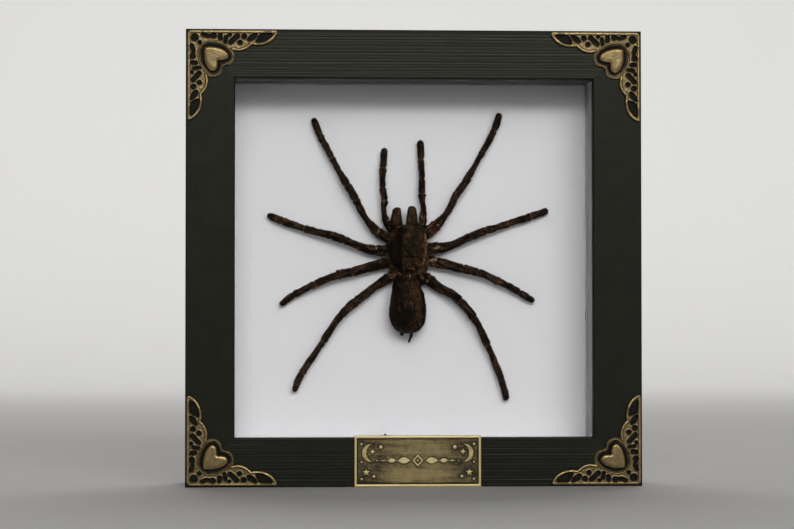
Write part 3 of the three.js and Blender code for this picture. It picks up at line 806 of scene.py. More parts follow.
def cornerOutline():
    # rounded corner, straight arm, rounded tip, two scallops and the lobe round the heart, then its mirror
    c = corner
    turn = np.linspace(1.25 * math.pi, 1.5 * math.pi, 7)[:, None]
    tipTurn = np.linspace(-0.5 * math.pi, 0.15 * math.pi, 9)[:, None]
    arc = lambda centre, radius, angle: np.array(centre) + radius * np.hstack([np.cos(angle), np.sin(angle)])
    half = [arc([c["round"]] * 2, c["round"], turn), arc([c["arm"] - c["tip"], c["tip"]], c["tip"], tipTurn)]
    last = half[-1][-1]
    for first, second, end in c["scallops"]:
        half.append(bezier([last, first, second, end], 14))
        last = end
    half.append(np.array([c["notch"]]))
    return bothSides(np.concatenate(half))


def makeCorners(finish):
    # a floor with a raised band and small lips round its slots, a moat with a rim, and a domed heart in it
    c = corner
    outline = cornerOutline()
    heartHalf, _ = curveThrough(onDiagonal(c["heart"]), 40)
    heart = bothSides(np.concatenate([heartHalf, onDiagonal([[c["heartNotch"], 0]])]))
    lineHalf, _ = curveThrough(onDiagonal(c["line"]), 60)
    line = bothSides(lineHalf)

    def folded(at):
        # the mirror image of a point that lies above the diagonal
        return np.sort(at, axis=1)[:, ::-1]

    def slots(at):
        # distance to the nearest pierced slot, negative inside one
        at = folded(at)
        nearest = [capsule(at, *bar) for bar in c["middleBars"] + c["bars"]]
        nearest += [polygon(at, curveThrough(wedge, 40, closed=True)[0][:-1]) for wedge in c["wedges"]]
        return np.min(nearest, axis=0)

    def outside(at):
        return np.maximum(polygon(at, outline), -slots(at))

    def height(at):
        edge = -polygon(at, outline)
        slot = slots(at)
        inLine = -polygon(at, line)
        inHeart = -polygon(at, heart)
        spot = np.stack([at[:, 0], at[:, 1], 0 * edge], 1)
        band = bead(edge - 0.5 * c["band"], 0.5 * c["band"] + 0.03) * ease(-0.3, -1.0, inLine)
        rise = c["floor"] + c["bandRise"] * band + c["lip"] * hump(slot - 0.2, 0.2)
        rise += 0.1 * ease(0.8, 2.0, np.minimum(edge, slot))
        rise = rise + (c["channel"] - rise) * ease(-0.1, 0.5, inLine)
        rise = np.maximum(rise, c["channel"] + (c["rim"] - c["channel"]) * bead(inLine, c["rimHalf"]))
        share = np.clip(inHeart / 2.1, 0, 1)
        dome = c["heartFoot"] + (c["heartTop"] - c["heartFoot"]) * (1 - (1 - share) ** 3.2)
        foot = ease(-0.12, 0.22, inHeart)
        rise = rise * (1 - foot) + dome * foot
        rise -= 0.1 * hump(inHeart + 0.3, 0.35)
        rise += 0.022 * lumps(spot, 0.9, 2) + 0.012 * lumps(spot, 0.35, 3)
        return np.clip(rise, 0.35, 2.4)

    low, high = (-0.3, -0.3), (c["arm"] + 0.3, c["arm"] + 0.3)
    points, faceSets, rise = stampedSheet(outside, height, low, high, c["step"])
    at = points[:len(rise), [0, 2]]
    edge, slot = -polygon(at, outline), slots(at)
    inHeart = -polygon(at, heart)
    inLine = -polygon(at, line)
    # rubbed where it stands proud of the ground around it, except right at each slot's edge, which is
    # painted dark as shade round the slots
    spot = np.stack([at[:, 0], at[:, 1], 0 * edge], 1)
    rub = 0.5 - 0.42 * hump(slot, 0.26) + 0.1 * hump(slot - 0.6, 0.22) + 0.12 * lumps(spot, 1.1, 4)
    band = bead(edge - 0.5, 0.56) * ease(-0.3, -0.9, inLine)
    rub = np.maximum(rub, (0.76 + 0.1 * lumps(spot, 2.5, 5)) * band)
    rub = np.where(inLine > 0.4, 0.02 + 0.3 * ease(1.25, 0.5, inLine), rub)
    rub = np.where(np.abs(inLine) < 0.4, 0.1, rub)
    rub = np.maximum(rub, (0.72 + 0.16 * lumps(spot, 0.8, 6)) * bead(inLine, 0.28))
    worn = 0.57 + 0.12 * lumps(spot, 2.2, 7) + 0.16 * hump(inHeart - 0.75, 0.5)
    rub = np.where(inHeart > 0, 0.08 + (worn - 0.08) * ease(0.0, 0.32, inHeart), rub)
    rub = np.concatenate([rub, 0 * rub + 0.15])
    # a thin dark film that fills the slots from behind: painted shade, so the slots read darker than the
    # black rail under them
    film, filmFaces, _ = stampedSheet(
        lambda at: polygon(at, outline) + c["shadeFilmIn"],
        lambda at: c["shadeFilm"] + 0.02 * lumps(np.pad(at, ((0, 0), (0, 1))), 0.8, 9),
        low, high, 2 * c["step"])
    start = c["inset"] - side / 2
    points = points + (start, railFront - c["seat"], c["inset"])
    film = film + (start, railFront - c["shadeFilmLift"], c["inset"])
    names = ["bottom_left", "top_left", "top_right", "bottom_right"]
    for quarter, name in enumerate(names):
        makePiece(f"corner_{name}_stamped", quarterTurned(points, quarter), faceSets, finish,
                  [f"corner_{name}"], values={"rub": rub}, sharp=72)
    shadeFilm = slotShadeFilm()
    for quarter, name in enumerate(names):
        makePiece(f"slot_shade_{name}", quarterTurned(film, quarter), filmFaces, shadeFilm, sharp=72)


makeCorners(antiqueBrass("antique_brass", (0.77, 0.56, 0.235), (0.275, 0.205, 0.102),
                         (0.006, 0.0050, 0.0034), 0.49, False))
print("brass corners are stamped")


plate = {
    "x": 1.3, "bottom": 0.05, "width": 56.6, "height": 22.8, "seat": 0.1, "step": 0.168, "round": 0.35,
    "border": 1.3, "field": 0.82, "proud": 1.5, "figure": 1.26,
    "moon": [20.85, 15.05, 4.15], "moonBite": [18.42, 15.1, 4.25],
    "sparkle": [20.15, 15.65, 1.6], "star": [22.95, 6.45, 2.15],
    "dots": [[25.05, 19, 0.7], [16.45, 17.7, 0.95], [25.05, 11.1, 0.62], [19.6, 4.7, 0.8], [25, 3.5, 0.7]],
    # the plain ornament: a lozenge, then leaves as [from the middle, half length, half height]
    "middle": 11.7, "lozenge": [2.7, 2.9], "leaves": [[6.2, 2.9, 1.5], [11.6, 1.9, 1.1]],
    "beads": [[9.45, 0.42], [13.9, 0.42], [18.2, 0.5]], "barFrom": 14.9, "barTo": 17.4, "barHalf": 0.5,
}


def starDistance(at, radius, points=5, depth=0.42):
    # signed distance to a star of this many points
    turn = np.arange(2 * points) * math.pi / points + math.pi / 2
    reach = np.where(np.arange(2 * points) % 2 == 0, radius, radius * depth)
    return polygon(at, np.stack([reach * np.cos(turn), reach * np.sin(turn)], 1))


def makeNameplate(finish):
    # a brushed field inside a raised border, with raised figures
    p = plate
    half = np.array([p["width"], p["height"]]) / 2

    def outside(at):
        # distance to a rectangle with slightly rounded corners
        over = np.abs(at - (0, half[1])) - half + p["round"]
        return np.linalg.norm(np.maximum(over, 0), axis=1) + np.minimum(over.max(1), 0) - p["round"]

    def figures(at):
        # moons, sparkles, stars and dots at both ends, and a plain ornament of leaves and bars between
        folded = np.stack([np.abs(at[:, 0]), at[:, 1]], 1)
        disc = lambda x, z, r: np.linalg.norm(folded - (x, z), axis=1) - r
        moons = np.maximum(disc(*p["moon"]), -disc(*p["moonBite"]))
        found = [moons]
        x, z, r = p["sparkle"]
        found.append(starDistance(folded - (x, z), r, 4, 0.5))
        x, z, r = p["star"]
        found.append(starDistance(folded - (x, z), r))
        found += [disc(*dot) for dot in p["dots"]]
        level = folded - (0, p["middle"])
        wide, high = p["lozenge"]
        edge = np.abs(level[:, 0]) / wide + np.abs(level[:, 1]) / high - 1
        edge *= wide * high / math.hypot(wide, high)
        found.append(np.maximum(edge, -(edge + 0.95)))
        found.append(edge + 1.45)
        for leafAt, long, high in p["leaves"]:
            radius = (long ** 2 + high ** 2) / (2 * high)
            middles = [(leafAt, way * (radius - high)) for way in (-1, 1)]
            found.append(np.maximum(*[np.linalg.norm(level - middle, axis=1) - radius
                                      for middle in middles]))
        found += [disc(x, p["middle"], r) for x, r in p["beads"]]
        share = np.clip((level[:, 0] - p["barFrom"]) / (p["barTo"] - p["barFrom"]), 0, 1)
        bar = capsule(level, (p["barFrom"], 0), (p["barTo"], 0), 0)
        found.append(bar - p["barHalf"] * (1 - 0.75 * share))
        return np.min(found, axis=0), moons

    def height(at):
        edge = -outside(at)
        border = bead(edge - 0.5 * p["border"], 0.5 * p["border"] + 0.02)
        rise = p["field"] + (p["proud"] - p["field"]) * border ** 0.35
        rise -= 0.16 * hump(edge - p["border"] - 0.3, 0.28)
        inFigure = -figures(at)[0]
        rise = rise + (p["figure"] - p["field"]) * ease(-0.1, 0.26, inFigure)
        rise += 0.05 * bead(inFigure - 0.7, 0.7)
        spot = np.stack([at[:, 0] / 9, at[:, 1] / 0.17, 0 * edge], 1)
        return np.clip(rise + 0.01 * lumps(spot, 1, 4), 0.4, 1.5)

    low, high = (-half[0] - 0.2, -0.2), (half[0] + 0.2, 2 * half[1] + 0.2)
    points, faceSets, rise = stampedSheet(outside, height, low, high, p["step"])
    at = points[:len(rise), [0, 2]]
    edge, (nearest, moons) = -outside(at), figures(at)
    inFigure = -nearest
    outward = np.abs(at[:, 0])
    band = np.stack([at[:, 0] / 14, at[:, 1] / 1.6, 0 * edge], 1)
    rub = 0.35 + 0.09 * lumps(band, 1, 8) + 0.06 * lumps(band * (1, 6, 1), 1, 9)
    rub += (0.16 * hump(at[:, 1] - 5.3, 2.4) + 0.06 * hump(at[:, 1] - 16.2, 1.8)) * ease(20, 9, outward)
    rub -= 0.12 * ease(7, 19, outward)
    rub -= 0.3 * hump(edge - p["border"] - 0.15, 0.26) + 0.15 * hump(inFigure + 0.2, 0.22)
    border = 0.68 + 0.32 * bead(edge - 0.65, 0.66) + 0.05 * lumps(band, 0.6, 10)
    rub = np.where(edge < p["border"], border, rub)
    figure = 0.86 - 0.16 * (moons < 0.2) + 0.07 * lumps(band * (5, 1, 1), 1, 11)
    rub = np.maximum(rub, figure * ease(-0.06, 0.16, inFigure))
    rub = np.concatenate([rub, 0 * rub + 0.15])
    placed = points + (p["x"], railFront - p["seat"], p["bottom"])
    makePiece("nameplate_stamped", placed, faceSets, finish, ["nameplate"],
              values={"rub": rub}, sharp=72)


makeNameplate(antiqueBrass("brushed_brass", (1.0, 0.85, 0.43), (0.47, 0.37, 0.18), (0.054, 0.045, 0.031),
                           0.62, True))
print("nameplate is stamped")


# backing, tabs and hanger

nail = {"head": 2.1, "dome": 0.7, "rim": 0.12, "shank": 0.6, "point": 0.12, "taper": 1.5, "sides": 40}


def makeNail(name, finish):
    # a round-headed nail: a profile of [radius, depth] turned about its axis, the head a quarter circle
    low, high = (np.array(c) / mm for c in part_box(name))
    centre = (low + high) / 2
    turn = np.linspace(0, math.pi / 2, 9)[1:-1]
    head = high[1] - nail["dome"]
    rim = head + nail["rim"]
    profile = [[nail["point"], low[1]], [nail["shank"], low[1] + nail["taper"]],
               [nail["shank"], head - 0.02], [nail["head"], head], [nail["head"], rim]]
    profile += [[nail["head"] * math.cos(a), rim + (high[1] - rim) * math.sin(a)] for a in turn]
    profile = np.array(profile)
    around = np.linspace(0, 2 * math.pi, nail["sides"], endpoint=False)
    ring = np.stack([np.cos(around), 0 * around, np.sin(around)], 1)
    grid = ring[None] * profile[:, :1, None] + profile[:, 1:, None] * np.array([0, 1, 0])
    grid = grid + (centre[0], 0, centre[2])
    ends = np.array([[centre[0], low[1], centre[2]], [centre[0], high[1], centre[2]]])
    points = np.concatenate([grid.reshape(-1, 3), ends])
    makePiece(name + "_turned", points, tubeFaces(len(profile), nail["sides"]), finish, [name],
              sharp=50)


def makeBackParts():
    zinc = zincSteel()
    easedCopy("backing_panel", 0.25, fibreBoard())
    for way in ["bottom", "left", "top", "right"]:
        for letter in "ab":
            easedCopy(f"flex_tab_{way}_{letter}", 0.1, zinc)
    easedCopy("hanger", 0.12, zinc)
    makeNail("hanger_nail_left", zinc)
    makeNail("hanger_nail_right", zinc)


makeBackParts()
print("back is finished")


# the spider

# each kind of limb's radius at even steps along its path
legGirth = {
    "first": [2.2, 2.4, 2.4, 1.8, 1.45, 1.65, 1.8, 1.8, 1.65, 1.4, 1.4, 1.42, 1.6, 1.5, 1.6, 1.5],
    "firstRight": [2.7, 2.95, 2.6, 1.8, 1.45, 1.65, 1.8, 1.8, 1.65, 1.4, 1.4, 1.42, 1.6, 1.5, 1.6, 1.5],
    "secondRight": [2.5, 2.75, 2.6, 2.2, 1.9, 1.8, 1.85, 1.9, 1.75, 1.5, 1.6, 1.58, 1.7, 1.65, 1.65, 1.5],
    "fourthRight": [2.7, 2.95, 2.5, 2.1, 2.1, 2.0, 2.0, 1.75, 1.6, 1.75, 1.45, 1.4, 1.7, 1.6, 1.55, 1.4],
    "second": [2.2, 2.4, 2.4, 2.1, 1.9, 1.8, 1.85, 1.9, 1.75, 1.5, 1.6, 1.58, 1.7, 1.65, 1.65, 1.5],
    "third": [2.2, 2.4, 2.5, 2.4, 2.2, 2.15, 2.0, 1.95, 1.8, 1.7, 1.7, 1.5, 1.65, 1.5, 1.55, 1.4],
    "fourth": [2.2, 2.3, 2.2, 1.85, 2.0, 2.0, 2.0, 1.75, 1.6, 1.75, 1.45, 1.4, 1.7, 1.6, 1.55, 1.4],
    "palp": [1.7, 1.8, 1.8, 1.75, 1.3, 1.25, 1.55, 1.5, 1.45, 1.35, 1.4, 1.55, 1.4, 1.6, 1.6, 1.5],
}
# each limb's path from the body out as [x, z, rise above the board], and its joints as
# [share of its length, how pale the skin is there]
limbs = {
    "pedipalp_left": {
        "path": [[-6.9, 112.5, 3.3], [-10.2, 116.9, 3.4], [-12.2, 120.4, 3.5], [-12.7, 124.5, 3.7],
                 [-12.5, 128.3, 3.7], [-13.3, 136.5, 3.4], [-12.9, 144.7, 2.5], [-12.3, 152.9, 2.1]],
        "girth": "palp", "joints": [[0.2, 0.3], [0.43, 0.5], [0.57, 0.3], [0.785, 0.45]]},
    "pedipalp_right": {
        "path": [[3.2, 112.5, 3.3], [4.9, 118.3, 3.4], [5.4, 124.5, 3.6], [4.7, 131, 3.7], [4.7, 139, 3.4],
                 [4.4, 148, 2.5], [4, 156.5, 2.1]],
        "girth": "palp", "joints": [[0.21, 0.4], [0.45, 0.35], [0.6, 0.2], [0.8, 0.6]]},
    "leg_1_left": {
        "path": [[-6.9, 109.6, 3.1], [-15.8, 114.7, 3.7], [-20.8, 120.3, 4.1], [-24.3, 126.8, 4.2],
                 [-27.8, 133.3, 4.2], [-31.8, 139.8, 4], [-35.3, 146.3, 3.4], [-42.1, 159.2, 2.5],
                 [-44.8, 166.5, 2]],
        "girth": "first", "joints": [[0.145, 1], [0.4, 0.2], [0.51, 0.3], [0.715, 0.2], [0.88, 0.6]]},
    "leg_1_right": {
        "path": [[3.1, 111.5, 3.1], [8.5, 115.3, 3.4], [12.9, 119.2, 3.7], [17.2, 124.7, 4.1],
                 [20.2, 131, 4.2], [24.4, 137.1, 4.2], [31.4, 149, 3.4], [38.3, 161.9, 2.5],
                 [40.5, 169.1, 2]],
        "girth": "firstRight", "red": 0.9,
        "joints": [[0.155, 0.8], [0.4, 0.2], [0.53, 0.2], [0.72, 0.4], [0.88, 0.5]]},
    "leg_2_left": {
        "path": [[-6.9, 106, 3.1], [-17.4, 106.2, 3.7], [-23.8, 107.9, 4.1], [-29.5, 110.3, 4.2],
                 [-35.5, 112.5, 4.2], [-41.6, 114, 3.9], [-47.9, 115.7, 3.4], [-59.9, 119.8, 2.5],
                 [-65.8, 122.2, 2]],
        "girth": "second", "joints": [[0.155, 0.7], [0.4, 0.2], [0.5, 0.3], [0.71, 0.5], [0.875, 0.4]]},
    "leg_2_right": {
        "path": [[3.1, 107.3, 3.1], [13.1, 107.2, 3.7], [19.1, 108.8, 4.1], [25.2, 111.6, 4.2],
                 [31.2, 114.1, 4.2], [43.6, 118.1, 3.4], [56, 122.2, 2.5], [62.7, 124.4, 2]],
        "girth": "secondRight", "joints": [[0.15, 1], [0.4, 0.3], [0.52, 0.2], [0.7, 0.3], [0.87, 0.5]]},
    "leg_3_left": {
        "path": [[-6.4, 101.5, 3.1], [-14.3, 99.7, 3.5], [-24.8, 96.9, 4.1], [-35.6, 94.1, 4.2],
                 [-40.9, 92.1, 4], [-50.9, 87.2, 3], [-55.5, 84.6, 2.5], [-59.9, 81.2, 2]],
        "girth": "third", "joints": [[0.14, 0.5], [0.37, 0.15], [0.5, 0.2], [0.68, 0.4], [0.865, 0.5]]},
    "leg_3_right": {
        "path": [[2.6, 102, 3.1], [9.6, 101, 3.5], [20.1, 98.5, 4.1], [31.2, 95.8, 4.2], [36.2, 93.7, 4],
                 [46.4, 88.7, 3], [51.3, 85.8, 2.5], [56.2, 82.8, 2]],
        "girth": "third", "joints": [[0.145, 0.9], [0.37, 0.15], [0.49, 0.3], [0.68, 0.5], [0.86, 0.6]]},
    "leg_4_left": {
        "path": [[-4.7, 96.8, 2.5], [-9.4, 94.2, 3], [-16.2, 89.8, 3.7], [-22.3, 85.1, 4.1],
                 [-28.4, 80.3, 4.2], [-33.6, 74.7, 4.2], [-42.1, 61.9, 3.4], [-50.6, 48.9, 2.5],
                 [-53.7, 41.7, 2]],
        "girth": "fourth", "joints": [[0.08, 0.5], [0.33, 0.15], [0.46, 0.2], [0.65, 0.5], [0.88, 0.3]]},
    "leg_4_right": {
        "path": [[1.5, 96.6, 2.5], [6.6, 93.1, 2.9], [11.6, 89.7, 3.5], [18.3, 85.9, 4.1], [24.2, 80.7, 4.2],
                 [28.9, 74.4, 4.2], [35.9, 60.2, 3.4], [41.6, 45.5, 2.5], [43.5, 37.6, 2]],
        "girth": "fourthRight", "joints": [[0.1, 0.7], [0.33, 0.15], [0.46, 0.2], [0.65, 0.4], [0.87, 0.4]]},
}
limbMake = {
    "rows": 330, "columns": 44, "flat": 0.92, "blunt": 1, "skin": 0.12,
    "pinch": 0.34, "knuckle": 0.2, "swell": 0.22, "furrow": 0.22, "crumple": 0.15, "grain": 0.045,
}
limbHair = {"count": 5400, "length": [0.35, 0.85], "lift": 0.42, "thick": 0.042, "stray": 0.35}
palpHair = {**limbHair, "count": 3400}
longHair = {"share": 0.08, "longer": 1.7}    # a few hairs of every coat stand out


def limbRings(path, girth, make):
    # rings about a path: the radius is the girth, drawn in at both ends by a quarter circle
    rows, blunt = make["rows"], make["blunt"]
    spots, length = curveThrough(np.array(path)[:, [0, 2, 1]] * (1, -1, 1) + (0, boardFront, 0), 4 * rows)
    crowd = 0.8 if blunt > 1 else 0.35    # how closely the rings stand at the ends
    t = np.linspace(0, 1, rows + 2)[1:-1]
    share = (1 - crowd) * t + crowd * (1 - np.cos(math.pi * t)) / 2
    fine = np.linspace(0, 1, len(spots))
    spot = np.stack([np.interp(share, fine, spots[:, k]) for k in range(3)], 1)
    tangent = np.gradient(spots, axis=0)
    tangent = np.stack([np.interp(share, fine, tangent[:, k]) for k in range(3)], 1)
    tangent /= np.linalg.norm(tangent, axis=1)[:, None]
    across = np.cross([0, -1, 0], tangent)
    across /= np.linalg.norm(across, axis=1)[:, None]
    toFront = -np.cross(across, tangent)
    soft, _ = curveThrough(np.stack([np.arange(len(girth)), girth], 1), 400)
    radius = np.interp(share * (len(girth) - 1), soft[:, 0], soft[:, 1])
    fromEnd = np.minimum(share, 1 - share) * length * blunt
    drawn = np.sqrt(np.clip(1 - np.clip(1 - fromEnd / radius, 0, 1) ** 2, 0, 1))
    angle = np.linspace(0, 2 * math.pi, make["columns"], endpoint=False)
    return {
        "spot": spot, "across": across, "front": toFront, "tangent": tangent,
        "ends": np.stack([spots[0], spots[-1]]), "length": length, "flat": make["flat"],
        "radius": radius[:, None], "drawn": drawn[:, None], "run": share[:, None] * length,
        "angle": angle[None], "cos": np.cos(angle)[None], "sin": np.sin(angle)[None],
    }


def ringPoints(rings, relief=0):
    # each ring's points: radius plus relief, the second axis flattened towards the board
    reach = ((rings["radius"] + relief) * rings["drawn"])[..., None]
    outward = rings["across"][:, None] * rings["cos"][..., None]
    outward = outward + rings["front"][:, None] * rings["sin"][..., None] * rings["flat"]
    return rings["spot"][:, None] + outward * reach


def aroundSpot(rings, tight, stretch):
    # places on a cylinder for noise that turns with the ring's angle and runs on along the path
    run = rings["run"] / stretch + 0 * rings["angle"]
    return np.stack([rings["cos"] * tight + 0 * run, rings["sin"] * tight + 0 * run, run], -1)


def flatSpot(x, z):
    # places for noise that is seen straight from the front
    return np.stack([x, z, 0 * x], -1)


def oval(x, z, mark):
    # a soft oval, 1 in its middle, from [x, z, half width, half height]
    return hump(np.hypot((x - mark[0]) / mark[2], (z - mark[1]) / mark[3]), 1)


def most(first, *others):
    # the largest of several values at each point
    for other in others:
        first = np.maximum(first, other)
    return first


def normalsOf(grid):
    # the normal at each grid point: the cross of its two slopes, turned away from the ring's middle
    byRow = np.gradient(grid, axis=0)
    byColumn = np.roll(grid, -1, axis=1) - np.roll(grid, 1, axis=1)
    normal = np.cross(byColumn, byRow)
    normal /= np.maximum(np.linalg.norm(normal, axis=2), 1e-9)[..., None]
    outward = grid - grid.mean(axis=1, keepdims=True)
    return normal * np.sign((normal * outward).sum(2, keepdims=True))


def makeTube(name, rings, grid, finish, replaces=(), values={}):
    # a grid of rings closed to a point at each end, where a value is the mean of its last ring
    def withEnds(value):
        value = np.broadcast_to(value, grid.shape[:2])
        return np.concatenate([value.ravel(), [value[0].mean(), value[-1].mean()]])

    points = np.concatenate([grid.reshape(-1, 3), rings["ends"]])
    makePiece(name, points, tubeFaces(*grid.shape[:2]), finish, replaces,
              values={key: withEnds(value) for key, value in values.items()})


def growHair(name, grid, tangent, finish, coat, seed, dark, density=None):
    # tapering three-sided hairs rooted evenly over a surface: each leaves at an angle between the surface's
    # normal and the way the hair lies, and bends back towards it
    random = np.random.default_rng(seed)
    count = coat["count"]
    normal = normalsOf(grid)
    columns = grid.shape[1]
    down = np.linalg.norm(grid[1:] - grid[:-1], axis=2)
    wide = np.linalg.norm(np.roll(grid, -1, axis=1) - grid, axis=2)[:-1]
    share = down * wide
    if density is not None:
        share = share * density[:-1]
    cell = random.choice(share.size, count, p=(share / share.sum()).ravel())
    row, column = np.divmod(cell, columns)
    a, b = random.random((2, count, 1))
    after = (column + 1) % columns

    def at(values):
        top = values[row, column] * (1 - b) + values[row, after] * b
        return top * (1 - a) + (values[row + 1, column] * (1 - b) + values[row + 1, after] * b) * a

    root, up = at(grid), at(normal)
    lie = tangent[row] + coat["stray"] * random.normal(size=(count, 3))
    lie -= up * (lie * up).sum(1, keepdims=True)
    lie /= np.linalg.norm(lie, axis=1)[:, None]
    tilt = coat["lift"] * random.uniform(0.55, 1.5, (count, 1))
    way = lie * np.cos(tilt) + up * np.sin(tilt)
    reach = random.uniform(*coat["length"], (count, 1)) * random.uniform(0.75, 1.1, (count, 1))
    reach = reach * np.where(random.random((count, 1)) < longHair["share"], longHair["longer"], 1)
    bend = way * 0.8 + lie * 0.35
    bend /= np.linalg.norm(bend, axis=1)[:, None]
    start = root - up * 0.06
    middle = start + way * reach * 0.5
    tip = middle + bend * reach * 0.5
    first = np.cross(way, up)
    first /= np.linalg.norm(first, axis=1)[:, None]
    second = np.cross(way, first)
    turn = np.arange(3) * 2 * math.pi / 3
    ring = first[:, None] * np.cos(turn)[None, :, None] + second[:, None] * np.sin(turn)[None, :, None]
    ring = ring * coat["thick"]
    points = np.concatenate([start[:, None] + ring, middle[:, None] + ring * 0.72, tip[:, None]], axis=1)
    base = np.arange(count)[:, None, None] * 7
    quads = (base + np.array([[0, 1, 4, 3], [1, 2, 5, 4], [2, 0, 3, 5]])).reshape(-1, 4)
    tips = (base + np.array([[3, 4, 6], [4, 5, 6], [5, 3, 6], [0, 2, 1]])).reshape(-1, 3)
    shade = random.random(count) ** 1.6 * (1 - 0.8 * np.clip(dark[row, column], 0, 1))
    makePiece(name, points.reshape(-1, 3), [quads, tips], finish,
              values={"shade": np.repeat(shade, 7), "tip": np.tile([0, 0, 0, 0.4, 0.4, 0.4, 1], count)})


def makeLimb(name, build, seed, skin, hair):
    # a dried leg: knuckles and pinched joints, long furrows where it shrank, then finer crumpling
    m = limbMake
    rings = limbRings(build["path"], legGirth[build["girth"]], m)
    run, angle, long = rings["run"], rings["angle"], rings["length"]
    cos, sin = rings["cos"], rings["sin"]
    noise = lambda tight, stretch, step: lumps(aroundSpot(rings, tight, stretch), 1, seed + step)
    relief = m["furrow"] * noise(0.95, 6, 0) + m["crumple"] * noise(2.1, 1.5, 1) - m["skin"]
    relief += m["grain"] * noise(5, 0.5, 2) + m["swell"] * noise(0.7, 2.2, 15)
    pale, warm = 0 * relief, 0.35 + 0.3 * noise(0.8, 9, 3)
    for share, paleness in build["joints"]:
        off = run - share * long + 0.35 * noise(1.2, 3, 4)
        relief = relief - m["pinch"] * hump(off, 0.42)
        relief = relief + m["knuckle"] * (hump(off + 1.1, 0.75) + 0.5 * hump(off - 1.2, 0.9))
        turn = math.pi / 2 + 0.5 * cornerNumber(seed, int(100 * share), 0, 5)
        spread = hump(off, 0.62) * hump(angle - turn, 0.4) * (0.85 + 0.9 * noise(3.2, 0.7, 5))
        pale = np.maximum(pale, paleness * spread)
        warm = warm + 0.4 * hump(off, 0.8)
    first = build["joints"][0][0] * long
    # a bare stripe along the middle segments
    stripe = hump(sin - 0.75, 0.22) * (cos > 0) * ease(0.18, 0.24, run / long) * ease(0.7, 0.55, run / long)
    stripe = stripe * ease(-0.3, 0.5, noise(0.5, 7, 6))
    grid = ringPoints(rings, relief - 0.1 * stripe)
    # light flecks drawn out along the limb, thicker on the segments next to the body
    base = ease(first + 2.5, first - 1.5, run)
    pale = pale + 0.5 * base * ease(0.3, 0.75, noise(4.0, 0.5, 10))
    warm = warm + 0.2 * ease(first + 2, first - 3, run) + 0.5 * noise(2.2, 3.5, 16) + 0.25 * stripe
    fold = noise(2.3, 6.5, 17)
    fleck = most(ease(0.1, 0.6, noise(3.2, 0.9, 8) + 0.5 * noise(1.2, 5, 9)), 0.85 * ease(0.1, 0.5, fold))
    dark = most(ease(0.0, 0.6, noise(0.8, 4, 7)), ease(0.15, 0.5, noise(2.6, 2.2, 11)),
                base * ease(0.0, 0.4, noise(1.7, 1.1, 13)), 0.9 * ease(-0.08, -0.4, fold))
    for share, _ in build["joints"]:
        shadow = 0.8 * hump(run - share * long - 0.75, 0.28)
        dark = np.maximum(dark, shadow * ease(-0.5, 0.2, noise(1.6, 2, 12)))
    red = build.get("red", 0) * hump(run - 0.115 * long, 1.5) * ease(-0.1, 0.35, noise(2.4, 0.8, 14))
    makeTube(name + "_skin", rings, grid, skin, [name],
             {"pale": pale, "warm": warm, "red": red, "fleck": fleck * (0.6 + 0.4 * base),
              "dark": 0.85 * dark})
    density = (1 - 0.75 * stripe) * (1 - 0.6 * pale) * (0.35 + 0.65 * ease(first - 4, first + 1, run))
    density = density * (1 + 0.8 * ease(0.9, 1.0, run / long))
    growHair(name + "_hair", grid, rings["tangent"], hair,
             palpHair if build["girth"] == "palp" else limbHair, seed + 50, dark, density)


skin = driedSkin("leg_skin", (0.0040, 0.0022, 0.0014), (0.0310, 0.0165, 0.0098), (0.082, 0.0390, 0.0210),
                 (0.200, 0.125, 0.074), 0.48)
hair = fineHair()
makeCrumbs(skin)
for number, (name, build) in enumerate(limbs.items()):
    makeLimb(name, build, 100 + 10 * number, skin, hair)
print("legs and palps are grown")


# the plate of coxae under the carapace, which fills the roots of the legs
coxaPlate = {
    "path": [[-1.8, 93.4, 3.4], [-1.6, 99, 3.9], [-1.6, 104, 3.9], [-2.2, 109.5, 3.9], [-2.2, 116.6, 3.8]],
    "girth": [5.2, 8.0, 9.9, 10.5, 10.2, 9.3, 8.5, 7.9, 6.8],
    "flat": 0.3, "blunt": 2, "rows": 120, "columns": 120,
    "pitch": 4.4, "first": 3, "swell": 0.35,
}


def makeCoxaPlate(skin):
    # a flattened tube whose edge swells out at each coxa
    c = coxaPlate
    rings = limbRings(c["path"], c["girth"], c)
    noise = lambda size, seed: lumps(aroundSpot(rings, 8 / size, size), 1, seed)
    relief = c["swell"] * np.cos(2 * math.pi * (rings["run"] - c["first"]) / c["pitch"]) * rings["cos"] ** 2
    grid = ringPoints(rings, relief + 0.55 * noise(2.2, 51) + 0.3 * noise(0.9, 52))
    front = ease(4.5, 2.0, rings["run"]) * ease(0.3, 0.9, rings["sin"])
    makeTube("coxa_plate_skin", rings, grid, skin, (), {
        "pale": 0.95 * front * ease(0.1, 0.55, noise(0.8, 53)) + 0.35 * ease(0.4, 0.8, noise(0.8, 54)),
        "warm": 0.5 + 0.4 * noise(1.6, 55), "fleck": ease(0.1, 0.6, noise(0.8, 56)),
        "dark": ease(0.0, 0.5, noise(1.8, 57))})


